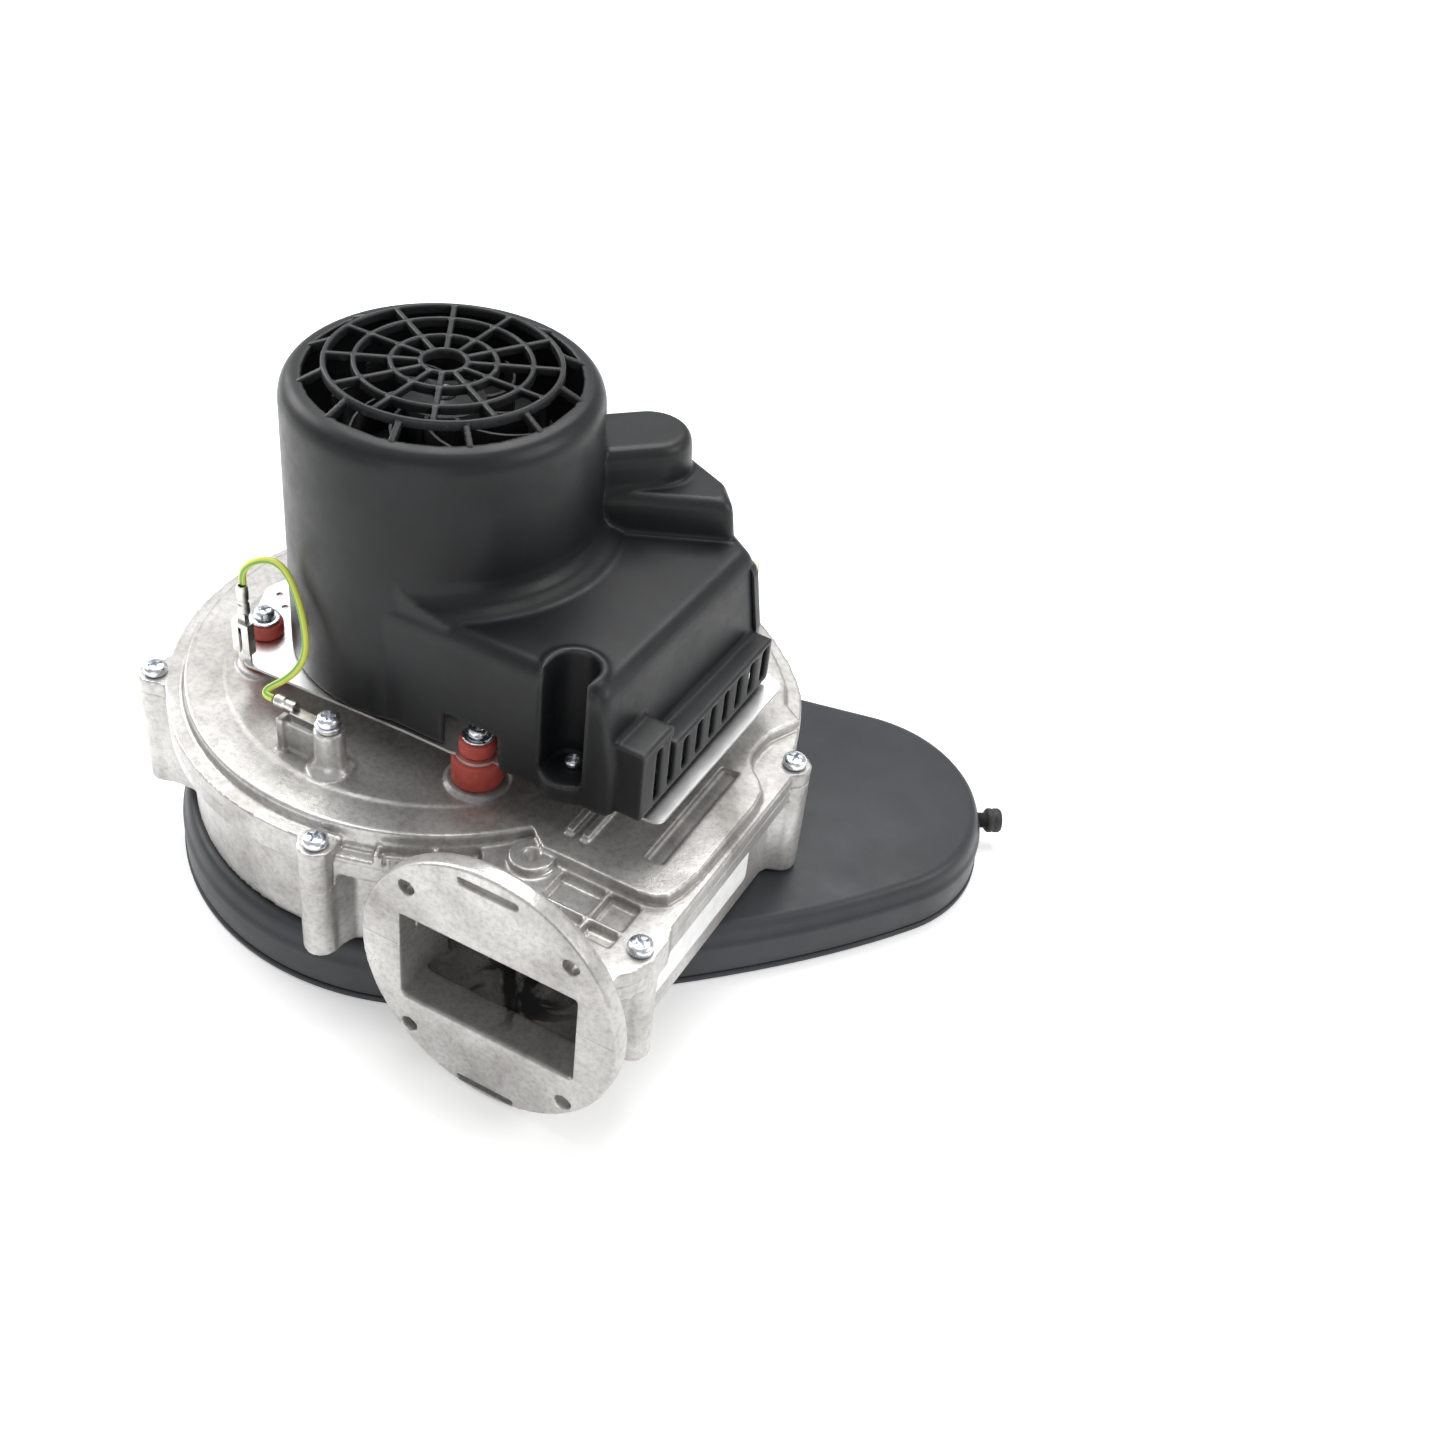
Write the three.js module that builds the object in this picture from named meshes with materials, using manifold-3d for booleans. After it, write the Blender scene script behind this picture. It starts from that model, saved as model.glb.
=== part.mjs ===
// Premix combustion fan for a gas boiler: a radial blower in a two-part cast
// volute, driven by a motor under a moulded cover, standing on an inlet plenum.
// Millimetres, +Z up along the rotor axis, outlet flange facing -Y.
// The origin is on the rotor axis, on the underside of the plenum base.

import * as THREE from 'three';
import { mergeVertices } from 'three/addons/utils/BufferGeometryUtils.js';
import Module from 'manifold-3d';

const wasm = await Module();
wasm.setup();

// ---- driving dimensions -------------------------------------------------

const GAP = 0.3;                 // clearance between touching pieces

// inlet plenum: teardrop box, big end under the scroll
const PLENUM_BIG_R = 110;
const PLENUM_SMALL_R = 61;
const PLENUM_SMALL_X = 150;
const PLENUM_SMALL_Y = 84;
const PLENUM_LIP = 2.7;          // base plate thickness
const PLENUM_TOP = 26;
const PLENUM_WALL = 2.6;
const BAND_INSET = 0.6;          // upright band, just inside the base lip
const BAND_TOP = 17.5;
const SHOULDER_INSET = 2.4;
const SHOULDER_TOP = 22;
const ROOF_INSET = 5;
const INTAKE_R = 30;             // air intake in the base, under the small end
const KNOB_DIRECTION = 33;       // degrees, on the small end
const KNOB_Z = 11.5;
const KNOB_NECK_R = 3.4;
const KNOB_HEAD_R = 5.4;
const KNOB_NECK_LENGTH = 4;
const KNOB_LENGTH = 11;

// scroll casting
const SCROLL_BOTTOM = 27;
const SCROLL_WALL = 3.5;
const PART_Z = 73.5;             // parting plane of the two halves
const FLANGE_PART_Z = 61;        // lower parting step across the outlet flange
const RIM_LOW = 66.5;            // underside of the perimeter flange
const RIM_TOP = 80;
const RIM_WIDTH = 7;             // perimeter flange beyond the wall
const DECK_TOP = 85;
const DECK_R = 102;
const DECK_STEP_R = 86;
const DECK_STEP_TOP = 86;
const CEILING = 81.5;
const EYE_R = 42;                // impeller inlet in the scroll floor
const VOLUTE_R = 109.5;          // smallest radius of the perimeter flange
const VOLUTE_GROWTH = 36;        // how much it opens towards the outlet
const RIGHT_X = 147;             // straight side of the perimeter flange
const SHAFT_HOLE_R = 8;
const FLOOR_TOP = SCROLL_BOTTOM + 3;
const PASSAGE_TOP = 74.5;        // roof of the passage outside the impeller chamber
const CHAMBER_R = 92;            // raised ceiling over the impeller
const SEAL_IN_R = 52;            // ring between the plenum and the scroll
const SEAL_OUT_R = 55;
const SEAL_TOP = 28.3;
const NOZZLE_TOP = 36;           // inlet nozzle that reaches into the impeller

// outlet flange and duct
const OUTLET_X = 99;
const OUTLET_Z = 56;
const OUTLET_FACE_Y = -117;
const FLANGE_Z = 57.6;           // the flange is a little taller than it is wide
const FLANGE_HALF_WIDTH = 53.4;
const FLANGE_HALF_HEIGHT = 57;
const OUTLET_THICK = 8;
const DUCT_W = 73;
const DUCT_H = 42.5;
const NECK_BACK_Y = -101;        // where the rectangular neck opens into the volute
const OUTLET_HOLE_DX = 33.2;
const OUTLET_HOLE_DZ = 35.8;
const OUTLET_HOLE_R = 3.3;
const DUCT_WALL = 7.5;
const NECK_FLOOR = 30;           // underside of the rectangular neck
const RIM_SLOT_HALF = 12.2;      // blind slots in the flange's face, above and below
const RIM_SLOT_OFFSET = 51.6;
const RIM_SLOT_HEIGHT = 3.2;
const RIM_SLOT_DEPTH = 4;
const POCKET_FLOOR = 77;         // cored pockets behind the flange

// fixings through the perimeter flange
const HOUSING_SCREWS = [[-92, -66], [19.3, -107.6], [142.6, -87.3], [144, 30], [-16, 128], [-84, 78]];
const POST_R = 7;
const WEB_REACH = 12;            // web from a post towards the volute
const WEB_HALF = 14;
const SCREW_HOLE_R = 2.8;
const SCREW_HOLE_FLOOR = 54;
const DIMPLE_X = 87;             // low boss with a blind dimple beside the flange
const DIMPLE_Y = -72;
const DIMPLE_TOP = 83;

// motor plate on its three isolators
const PLATE_LOW = 98.9;
const PLATE_TOP = 100.1;
const ISOLATORS = [[50.8, -51.7], [-56, -41], [4, 72]];
const ISOLATOR_R = 9.9;
const ISOLATOR_NECK_R = 6;
const ISOLATOR_TOP_R = 7.4;
const ISOLATOR_TOP = 106.5;
const ISOLATOR_LOW = 87.2;
const ISOLATOR_BORE_R = 3;
const ISOLATOR_PAD_R = 12;       // cast pad that an isolator stands on
const ISOLATOR_PAD_TOP = 86.9;
const WASHER_THICK = 1;
const PLATE_CENTRE_HOLE_R = 18;

// motor cover
const COVER_LOW = 100.4;
const CAP_R = 58.5;
const CAP_TOP = 216;
const CAP_OPENING_R = 49.5;
const COVER_WALL = 2.6;
const CAP_ROUND = 8;             // rounding of the cap's rim
const HOOD_TOP = 155;
const HOOD_STEP_TOP = 171;
const LOBE_TOP = 187;
const GRILLE_TOP = 221;
const GRILLE_RINGS = [8.3, 18.8, 31.6, 42];
const GRILLE_BAR = 2.2;
const GRILLE_BARS = 12;
const GRILLE_DEPTH = 3.6;
const COMB_X = 121;
const COMB_BACK_X = 104;
const COMB_FRONT_Y = -54;
const COMB_BACK_Y = 46;
const COMB_LOW = 102.5;
const COMB_TOP = 122;
const COMB_BLOCK_BACK_Y = -33;   // raised block at the front end
const COMB_BLOCK_TOP = 133;
const COMB_FIRST_SLOT_Y = -42.5;
const COMB_SLOT_HALF = 2.1;
const COMB_SLOT_LOW = 105;
const COMB_PITCH = 10.4;
const COMB_SLOTS = 9;
const RECESS_X = 89;             // round recess in the hood's front for a screw
const RECESS_Y = -50;
const RECESS_R = 8.8;
const RECESS_WALL_R = 11.4;
const RECESS_FLOOR = 109.5;
const COVER_SCREWS = [[RECESS_X, -47.6], [97, 42], [-37, 41]];
const BOSS_TOP = 117;
const WINDOW_LOW = 118;          // window for the supply plug
const WINDOW_TOP = 146;

// rotor and motor
const SHAFT_R = 4;
const SHAFT_LOW = 40;
const SHAFT_TOP = 209;
const ROTOR_CORE_R = 19.7;
const IMPELLER_R = 74;
const IMPELLER_LOW = 38;
const IMPELLER_TOP = 74.5;
const IMPELLER_BLADES = 10;
const STATOR_OUT_R = 44;
const STATOR_IN_R = 25.4;
const STATOR_LOW = 128;
const STATOR_TOP = 158;
const COILS = 6;
const FAN_R = 41;
const FAN_LOW = 190;
const FAN_TOP = 207;
const FAN_BLADES = 9;
const HUB_R = 12;                // impeller hub
const HUB_LOW = 60;
const NUT_R = 8;
const FAN_HUB_R = 16;
const BLADE_THICK = 1.3;
const BLADE_IN_R = 44;
const SHROUD_IN_R = 46;
const SHROUD_RISE = 12;          // shroud height from its eye to its rim
const BEARING_R = 11;
const BEARING_WIDTH = 7;
const LOWER_BEARING_LOW = 104.8;
const UPPER_BEARING_LOW = 166.7;
const SHIELD_R = 46.5;           // end shields of the motor
const SHIELD_IN_R = 43.5;

// control board in the hood
const BOARD_LOW = 108;
const BOARD_THICK = 1.6;
const CAPACITOR_R = 9;
const CAPACITOR_X = 74;
const CAPACITOR_TOP = 142;
const PARTS_LOW = 110;

// ---- materials ----------------------------------------------------------

const finish = (color, roughness, metalness) =>
  () => new THREE.MeshStandardMaterial({ color, roughness, metalness });
const castAluminium = finish('#b7b5b0', 0.5, 0.9);
const coverPlastic = finish('#2b2d31', 0.55, 0);
const plenumPlastic = finish('#3a3c42', 0.5, 0);
const siliconeRed = finish('#a0443c', 0.65, 0);
const blackRubber = finish('#1d1d1e', 0.8, 0);
const sheetSteel = finish('#c9cbcd', 0.3, 1);
const zincScrew = finish('#c3c9d0', 0.3, 1);
const lamination = finish('#6d6a66', 0.5, 0.8);
const copperWire = finish('#b06a35', 0.4, 0.9);
const boardGreen = finish('#2f6b45', 0.6, 0);
const beigePlastic = finish('#d8ceb4', 0.5, 0);
const wireGreenYellow = finish('#c9d447', 0.5, 0);
const tinnedBrass = finish('#cfcfc8', 0.35, 1);
const magnetGrey = finish('#4a4b4e', 0.5, 0.4);
const rolledAluminium = finish('#9c9a94', 0.45, 0.9);
const canAluminium = finish('#3c4f86', 0.4, 0.3);

// ---- solids -------------------------------------------------------------

function toManifold(geometry) {
  let bare = geometry.clone();
  bare.deleteAttribute('normal');
  bare.deleteAttribute('uv');
  bare = mergeVertices(bare, 1e-4);
  const corners = Array.from(bare.index.array);
  const faces = [];
  for (let i = 0; i < corners.length; i += 3) {
    const [a, b, c] = corners.slice(i, i + 3);
    if (a !== b && b !== c && c !== a) faces.push(a, b, c);
  }
  const mesh = new wasm.Mesh({
    numProp: 3,
    vertProperties: new Float32Array(bare.attributes.position.array),
    triVerts: new Uint32Array(faces),
  });
  const body = new wasm.Manifold(mesh);
  return body.volume() < 0 ? flipped(mesh) : body;
}

function flipped(mesh) {
  const corners = mesh.triVerts.slice();
  for (let i = 0; i < corners.length; i += 3) {
    [corners[i + 1], corners[i + 2]] = [corners[i + 2], corners[i + 1]];
  }
  return new wasm.Manifold(new wasm.Mesh({
    numProp: 3,
    vertProperties: mesh.vertProperties,
    triVerts: corners,
  }));
}

function toGeometry(body) {
  const mesh = body.getMesh();
  const geometry = new THREE.BufferGeometry();
  geometry.setAttribute('position', new THREE.BufferAttribute(mesh.vertProperties, 3));
  geometry.setIndex(new THREE.BufferAttribute(mesh.triVerts, 1));
  geometry.computeVertexNormals();
  return geometry;
}

const join = (...bodies) => bodies.reduce((all, one) => all.add(one));
const cut = (body, ...tools) => tools.reduce((rest, tool) => rest.subtract(tool), body);

// prism of a 2-D outline between two heights
function prism(shape, low, high) {
  const geometry = new THREE.ExtrudeGeometry(shape, {
    depth: high - low,
    bevelEnabled: false,
    curveSegments: 6,
  });
  geometry.translate(0, 0, low);
  return toManifold(geometry);
}

const polygon = (points) => new THREE.Shape(points.map(([x, y]) => new THREE.Vector2(x, y)));

function box(x0, x1, y0, y1, z0, z1) {
  const geometry = new THREE.BoxGeometry(x1 - x0, y1 - y0, z1 - z0);
  geometry.translate((x0 + x1) / 2, (y0 + y1) / 2, (z0 + z1) / 2);
  return toManifold(geometry);
}

// upright cylinder
function disc(x, y, radius, low, high, sides = 24) {
  const geometry = new THREE.CylinderGeometry(radius, radius, high - low, sides);
  geometry.rotateX(Math.PI / 2);
  geometry.translate(x, y, (low + high) / 2);
  return toManifold(geometry);
}

// body of revolution about a vertical axis from [radius, height] points
function turned(profile, x = 0, y = 0, sides = 32) {
  const points = profile.map(([r, z]) => new THREE.Vector2(r, z));
  const geometry = new THREE.LatheGeometry(points, sides);
  geometry.rotateX(Math.PI / 2);
  geometry.translate(x, y, 0);
  return toManifold(geometry);
}

function tube(inner, outer, low, high, x = 0, y = 0, sides = 32) {
  const profile = [[inner, low], [outer, low], [outer, high], [inner, high], [inner, low]];
  return turned(profile, x, y, sides);
}

// oval disc lying along Y, for the outlet flange
function ovalAlongY(x, z, halfWidth, halfHeight, y0, y1, sides) {
  const geometry = new THREE.CylinderGeometry(1, 1, y1 - y0, sides);
  geometry.scale(halfWidth, 1, halfHeight);
  geometry.translate(x, (y0 + y1) / 2, z);
  return toManifold(geometry);
}

// round hole or pin lying along Y
function discAlongY(x, z, radius, y0, y1, sides) {
  const geometry = new THREE.CylinderGeometry(radius, radius, y1 - y0, sides);
  geometry.translate(x, (y0 + y1) / 2, z);
  return toManifold(geometry);
}

const atAngle = (radius, angle) => [radius * Math.cos(angle), radius * Math.sin(angle)];
const degrees = (value) => value * Math.PI / 180;

const fan = new THREE.Group();

function add(name, body, makeMaterial) {
  const mesh = new THREE.Mesh(toGeometry(body), makeMaterial());
  mesh.name = name;
  fan.add(mesh);
}

// ---- inlet plenum -------------------------------------------------------

const BACK_TANGENT = degrees(102.6);   // straight back side touches both round ends here
const FRONT_LEAVE = degrees(-52);      // where the bowed front side leaves the big end
const FRONT_ARRIVE = degrees(-33);     // and where it meets the small end

function plenumOutline(inset) {
  const big = PLENUM_BIG_R - inset;
  const small = PLENUM_SMALL_R - inset;
  const start = new THREE.Vector2(...atAngle(big, FRONT_LEAVE));
  const end = new THREE.Vector2(...atAngle(small, FRONT_ARRIVE))
    .add(new THREE.Vector2(PLENUM_SMALL_X, PLENUM_SMALL_Y));
  const leaving = new THREE.Vector2(-Math.sin(FRONT_LEAVE), Math.cos(FRONT_LEAVE));
  const arriving = new THREE.Vector2(-Math.sin(FRONT_ARRIVE), Math.cos(FRONT_ARRIVE));
  const across = end.clone().sub(start);
  const reach = across.cross(arriving) / leaving.cross(arriving);
  const bow = start.clone().addScaledVector(leaving, reach);
  const outline = new THREE.Shape();
  outline.absarc(0, 0, big, BACK_TANGENT, FRONT_LEAVE + 2 * Math.PI, false);
  outline.quadraticCurveTo(bow.x, bow.y, end.x, end.y);
  outline.absarc(PLENUM_SMALL_X, PLENUM_SMALL_Y, small, FRONT_ARRIVE, BACK_TANGENT, false);
  return outline;
}

{
  const band = prism(plenumOutline(BAND_INSET), PLENUM_LIP + GAP, BAND_TOP);
  const shoulder = prism(plenumOutline(SHOULDER_INSET), BAND_TOP, SHOULDER_TOP);
  const top = prism(plenumOutline(ROOF_INSET), SHOULDER_TOP, PLENUM_TOP);
  const hollow = join(
    prism(plenumOutline(BAND_INSET + PLENUM_WALL), 0, BAND_TOP - 2.5),
    prism(plenumOutline(ROOF_INSET + PLENUM_WALL), BAND_TOP - 3.5, PLENUM_TOP - PLENUM_WALL),
  );
  const eye = disc(0, 0, EYE_R + 4, BAND_TOP - 2.5, PLENUM_TOP + 14, 24);
  const shell = cut(join(band, shoulder, top), hollow, eye);
  add('plenum_shell', shell, plenumPlastic);

  const port = disc(PLENUM_SMALL_X, PLENUM_SMALL_Y, INTAKE_R, -1, PLENUM_LIP + 2.3, 32);
  add('plenum_base', cut(prism(plenumOutline(0), 0, PLENUM_LIP), port), plenumPlastic);

  // rubber buffer that locates the plenum in the boiler, on the small end
  const out = degrees(KNOB_DIRECTION);
  const turn = new THREE.Matrix4().makeRotationZ(out - Math.PI / 2);
  const knobProfile = [
    [0, 0], [KNOB_NECK_R, 0], [KNOB_NECK_R, KNOB_NECK_LENGTH],
    [KNOB_HEAD_R, KNOB_NECK_LENGTH + 0.6], [KNOB_HEAD_R, KNOB_LENGTH - 0.6],
    [KNOB_HEAD_R - 0.8, KNOB_LENGTH], [0, KNOB_LENGTH],
  ].map(([r, d]) => new THREE.Vector2(r, d));
  const knob = new THREE.LatheGeometry(knobProfile, 20);
  knob.applyMatrix4(turn);
  const [kx, ky] = atAngle(PLENUM_SMALL_R - 0.2, out);
  knob.translate(PLENUM_SMALL_X + kx, PLENUM_SMALL_Y + ky, KNOB_Z);
  add('locating_buffer', toManifold(knob), blackRubber);
}

// ---- scroll casting, made whole and split at the parting ----------------

// plan radius of the perimeter flange, smallest at the left, opening clockwise
function voluteRadius(angle) {
  const turnDegrees = ((angle * 180 / Math.PI) % 360 + 360) % 360;
  const sweep = Math.min(Math.max((150 - turnDegrees) / 120, 0), 1);
  return VOLUTE_R + (turnDegrees < 151 ? VOLUTE_GROWTH * sweep ** 1.2 : 0);
}

// outline of the volute, closed across the duct on the right
function voluteOutline(inset) {
  const points = [];
  for (let step = 0; step <= 27; step += 1) {
    const angle = degrees(14 + step * 10);
    points.push(atAngle(voluteRadius(angle) - inset, angle));
  }
  points.push([RIGHT_X - inset, -70]);
  points.push([RIGHT_X - inset, 20]);
  return polygon(points);
}

const ductLeft = OUTLET_X - DUCT_W / 2;
const ductRight = OUTLET_X + DUCT_W / 2;
const flangeBack = OUTLET_FACE_Y + OUTLET_THICK;

function scrollCasting() {
  // the perimeter flange squares off into corners beside the outlet flange
  const rimCorner = polygon([
    [52, -90], [52, flangeBack], [136, flangeBack], [146, -98], [149, -90], [149, -78],
    [RIGHT_X, -72], [RIGHT_X, 22], [100, 22],
  ]);
  const ductBlock = polygon([
    [55, -90], [55, flangeBack], [137, flangeBack], [141, -98], [141, 22], [100, 22],
  ]);
  let body = join(
    prism(voluteOutline(RIM_WIDTH), SCROLL_BOTTOM, RIM_TOP),
    prism(ductBlock, SCROLL_BOTTOM, RIM_TOP),
    prism(voluteOutline(0), RIM_LOW, RIM_TOP),
    prism(rimCorner, RIM_LOW, RIM_TOP),
    ovalAlongY(OUTLET_X, FLANGE_Z, FLANGE_HALF_WIDTH, FLANGE_HALF_HEIGHT,
      OUTLET_FACE_Y, flangeBack, 36),
    box(ductLeft - DUCT_WALL, ductRight + DUCT_WALL, flangeBack - 1, -92, NECK_FLOOR, RIM_TOP),
  );
  for (const [x, y] of HOUSING_SCREWS) {
    const outward = Math.atan2(y, x);
    const [wx, wy] = atAngle(WEB_REACH, outward);
    const [sx, sy] = [-Math.sin(outward), Math.cos(outward)];
    body = body.add(disc(x, y, POST_R, SCROLL_BOTTOM, RIM_TOP, 10));
    const web = polygon([
      [x + sx * POST_R, y + sy * POST_R],
      [x - wx + sx * WEB_HALF, y - wy + sy * WEB_HALF],
      [x - wx - sx * WEB_HALF, y - wy - sy * WEB_HALF],
      [x - sx * POST_R, y - sy * POST_R],
    ]);
    body = body.add(prism(web, RIM_LOW, RIM_TOP));
    body = body.add(prism(web, SCROLL_BOTTOM + 1, RIM_LOW + 1));
  }

  // raised deck, its concentric step, and the pads and bosses that stand on it
  const deck = join(
    disc(0, 0, DECK_R, RIM_TOP - 1, DECK_TOP, 36),
    prism(polygon([
      ...arcPoints(voluteRadius, 7, 24, 150),
      [0, 0], [90, -68], [131, -68], [138, -66], [142, -60], [143.5, -50], [144, 2],
      [139, 9], [133, 14], [129.5, 22], [129.5, 36], [134, 44], [136, 50],
    ]), RIM_TOP - 1, DECK_TOP),
    disc(0, 0, DECK_STEP_R, RIM_TOP, DECK_STEP_TOP, 36),
  );
  body = join(body, deck);
  body = join(body, disc(DIMPLE_X, DIMPLE_Y, 8.4, RIM_TOP - 3, DIMPLE_TOP, 16));
  for (const [x, y] of ISOLATORS) {
    body = body.add(turned([
      [0, DECK_TOP - 1], [ISOLATOR_PAD_R, DECK_TOP - 1], [ISOLATOR_PAD_R, ISOLATOR_PAD_TOP - 0.7],
      [ISOLATOR_PAD_R - 1.6, ISOLATOR_PAD_TOP], [0, ISOLATOR_PAD_TOP],
    ], x, y, 16));
  }
  // two short ribs in front of the cover's screw
  for (const x of [RECESS_X + 7, RECESS_X + 13]) {
    body = body.add(box(x - 1.6, x + 1.2, -57, -38, DECK_TOP - 1, DECK_TOP + 2.2));
  }

  // flow passage
  const passage = voluteOutline(RIM_WIDTH + SCROLL_WALL);
  const ductInner = polygon([
    [ductLeft, NECK_BACK_Y], [ductRight, NECK_BACK_Y], [ductRight, 22], [100, 22], [ductLeft, -85],
  ]);
  body = cut(
    body,
    prism(passage, FLOOR_TOP, PASSAGE_TOP),
    prism(ductInner, FLOOR_TOP, PASSAGE_TOP),
    disc(0, 0, CHAMBER_R, PASSAGE_TOP - 0.5, CEILING, 24),
    box(ductLeft, ductRight, OUTLET_FACE_Y - 1, NECK_BACK_Y + 2,
      OUTLET_Z - DUCT_H / 2, PASSAGE_TOP),
    box(ductLeft, ductRight, OUTLET_FACE_Y - 1, flangeBack + 1,
      OUTLET_Z - DUCT_H / 2, OUTLET_Z + DUCT_H / 2),
    disc(0, 0, EYE_R, SCROLL_BOTTOM - 7, FLOOR_TOP + 10, 24),
    disc(0, 0, SHAFT_HOLE_R, CEILING - 11.5, DECK_STEP_TOP + 9, 20),
  );

  // pockets cored out behind the outlet flange, and the blind dimple
  for (const [x0, x1, y0, y1] of [
    [100.5, 117, -81, -70], [120, 132, -82, -70], [120.5, 132, -91, -86],
    [101, 117.5, -92, -84], [66, 74, -101, -84], [52, 63, -101, -92],
  ]) {
    body = body.subtract(box(x0, x1, y0, y1, POCKET_FLOOR, RIM_TOP + 1.5));
  }
  const dimple = [[0, DIMPLE_TOP - 4.5], [0.8, DIMPLE_TOP - 4.5], [3.4, DIMPLE_TOP + 1],
    [0, DIMPLE_TOP + 1]];
  body = body.subtract(turned(dimple, DIMPLE_X, DIMPLE_Y, 12));
  // long shallow groove beside the comb
  body = body.subtract(box(123.5, 130.5, -52, 8, DECK_TOP - 2.4, DECK_TOP + 1));

  // holes and slots of the outlet flange
  for (const side of [-1, 1]) {
    for (const level of [-1, 1]) {
      body = body.subtract(discAlongY(
        OUTLET_X + side * OUTLET_HOLE_DX, OUTLET_Z + level * OUTLET_HOLE_DZ,
        OUTLET_HOLE_R, OUTLET_FACE_Y - 1, flangeBack + 6, 12,
      ));
    }
  }
  for (const z of [OUTLET_Z - RIM_SLOT_OFFSET, OUTLET_Z + RIM_SLOT_OFFSET]) {
    body = body.subtract(box(
      OUTLET_X - RIM_SLOT_HALF, OUTLET_X + RIM_SLOT_HALF, OUTLET_FACE_Y - 1,
      OUTLET_FACE_Y + RIM_SLOT_DEPTH, z - RIM_SLOT_HEIGHT / 2, z + RIM_SLOT_HEIGHT / 2,
    ));
  }

  // bores of the housing screws, down through the flange into the posts
  for (const [x, y] of HOUSING_SCREWS) {
    body = body.subtract(disc(x, y, SCREW_HOLE_R, SCREW_HOLE_FLOOR, RIM_TOP + 10, 8));
  }
  // seats of the isolator screws
  for (const [x, y] of ISOLATORS) {
    body = body.subtract(disc(x, y, 2.3, RIM_TOP + 3, ISOLATOR_PAD_TOP + 3.1, 8));
  }
  return body;
}

function arcPoints(radiusAt, inset, fromDegrees, toDegrees) {
  const points = [];
  const steps = 12;
  for (let step = 0; step <= steps; step += 1) {
    const angle = degrees(fromDegrees + step * (toDegrees - fromDegrees) / steps);
    points.push(atAngle(radiusAt(angle) - inset, angle));
  }
  return points;
}

// upright boss on the deck for the earth screw, with its stiffening rib
const EARTH_X = 2.3;
const EARTH_Y = -76.4;
const EARTH_TOP = 104;
const EARTH_BOSS_R = 5.8;
const EARTH_FOOT_R = 8;
const EARTH_RIB_X = -18;

{
  const whole = 400;
  const neckY = flangeBack + 2;
  const above = join(
    box(-whole, whole, neckY, whole, PART_Z + GAP / 2, whole),
    box(-whole, whole, -whole, neckY, FLANGE_PART_Z + GAP / 2, whole),
  );
  const below = join(
    box(-whole, whole, neckY + GAP, whole, -whole, PART_Z - GAP / 2),
    box(-whole, whole, -whole, neckY + GAP, -whole, FLANGE_PART_Z - GAP / 2),
  );
  const casting = scrollCasting();

  const earthBoss = join(
    turned([
      [0, DECK_TOP - 1], [EARTH_FOOT_R, DECK_TOP - 1], [EARTH_FOOT_R, DECK_TOP + 1.4],
      [EARTH_BOSS_R, DECK_TOP + 3.5], [EARTH_BOSS_R, EARTH_TOP], [0, EARTH_TOP],
    ], EARTH_X, EARTH_Y, 16),
    box(EARTH_RIB_X, EARTH_X, EARTH_Y - 1.2, EARTH_Y + 1, DECK_TOP - 1, EARTH_TOP - 5),
    box(EARTH_RIB_X - 2, EARTH_RIB_X + 1, -80, -74, DECK_TOP - 1, EARTH_TOP - 4),
  );
  const upper = cut(
    join(casting.intersect(above), earthBoss),
    disc(EARTH_X, EARTH_Y, 2.3, DECK_TOP + 5, EARTH_TOP + 6, 12),
  );
  add('upper_scroll', upper, castAluminium);

  const sealGroove = tube(SEAL_IN_R - 0.4, SEAL_OUT_R + 0.4, SCROLL_BOTTOM - 1, SEAL_TOP + GAP,
    0, 0, 24);
  const nozzle = tube(EYE_R, EYE_R + 2.6, FLOOR_TOP - 1, NOZZLE_TOP, 0, 0, 24);
  const lower = cut(join(casting.intersect(below), nozzle), sealGroove);
  add('lower_scroll', lower, castAluminium);

  const seal = tube(SEAL_IN_R, SEAL_OUT_R, PLENUM_TOP + GAP, SEAL_TOP, 0, 0, 24);
  add('plenum_seal', seal, blackRubber);
}

// ---- pan head screws, washers and isolators ------------------------------

function panScrew(x, y, seat, shank, length, head, height) {
  return turned([
    [0, seat - length], [shank * 0.8, seat - length], [shank, seat - length + 1], [shank, seat],
    [head, seat], [head, seat + height * 0.5], [head * 0.7, seat + height], [0, seat + height],
  ], x, y, 8);
}

HOUSING_SCREWS.forEach(([x, y], index) => {
  add(`housing_screw_${index + 1}`, panScrew(x, y, RIM_TOP + GAP, 2.4, 24, 4.8, 3.6), zincScrew);
});

ISOLATORS.forEach(([x, y], index) => {
  const number = index + 1;
  const rubber = turned([
    [ISOLATOR_BORE_R, ISOLATOR_LOW], [ISOLATOR_R, ISOLATOR_LOW], [ISOLATOR_R, PLATE_LOW - GAP],
    [ISOLATOR_NECK_R, PLATE_LOW - GAP], [ISOLATOR_NECK_R, PLATE_TOP + GAP],
    [ISOLATOR_TOP_R, PLATE_TOP + GAP], [ISOLATOR_TOP_R, ISOLATOR_TOP],
    [ISOLATOR_BORE_R, ISOLATOR_TOP], [ISOLATOR_BORE_R, ISOLATOR_LOW],
  ], x, y, 12);
  add(`isolator_${number}`, rubber, siliconeRed);
  const washerLow = ISOLATOR_TOP + GAP;
  const washerTop = washerLow + WASHER_THICK;
  add(`isolator_washer_${number}`, tube(2.7, 6, washerLow, washerTop, x, y, 12), zincScrew);
  add(`isolator_screw_${number}`, panScrew(x, y, washerTop + GAP, 2, 23.5, 3.9, 3.4), zincScrew);
});

// ---- motor plate ---------------------------------------------------------

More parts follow.
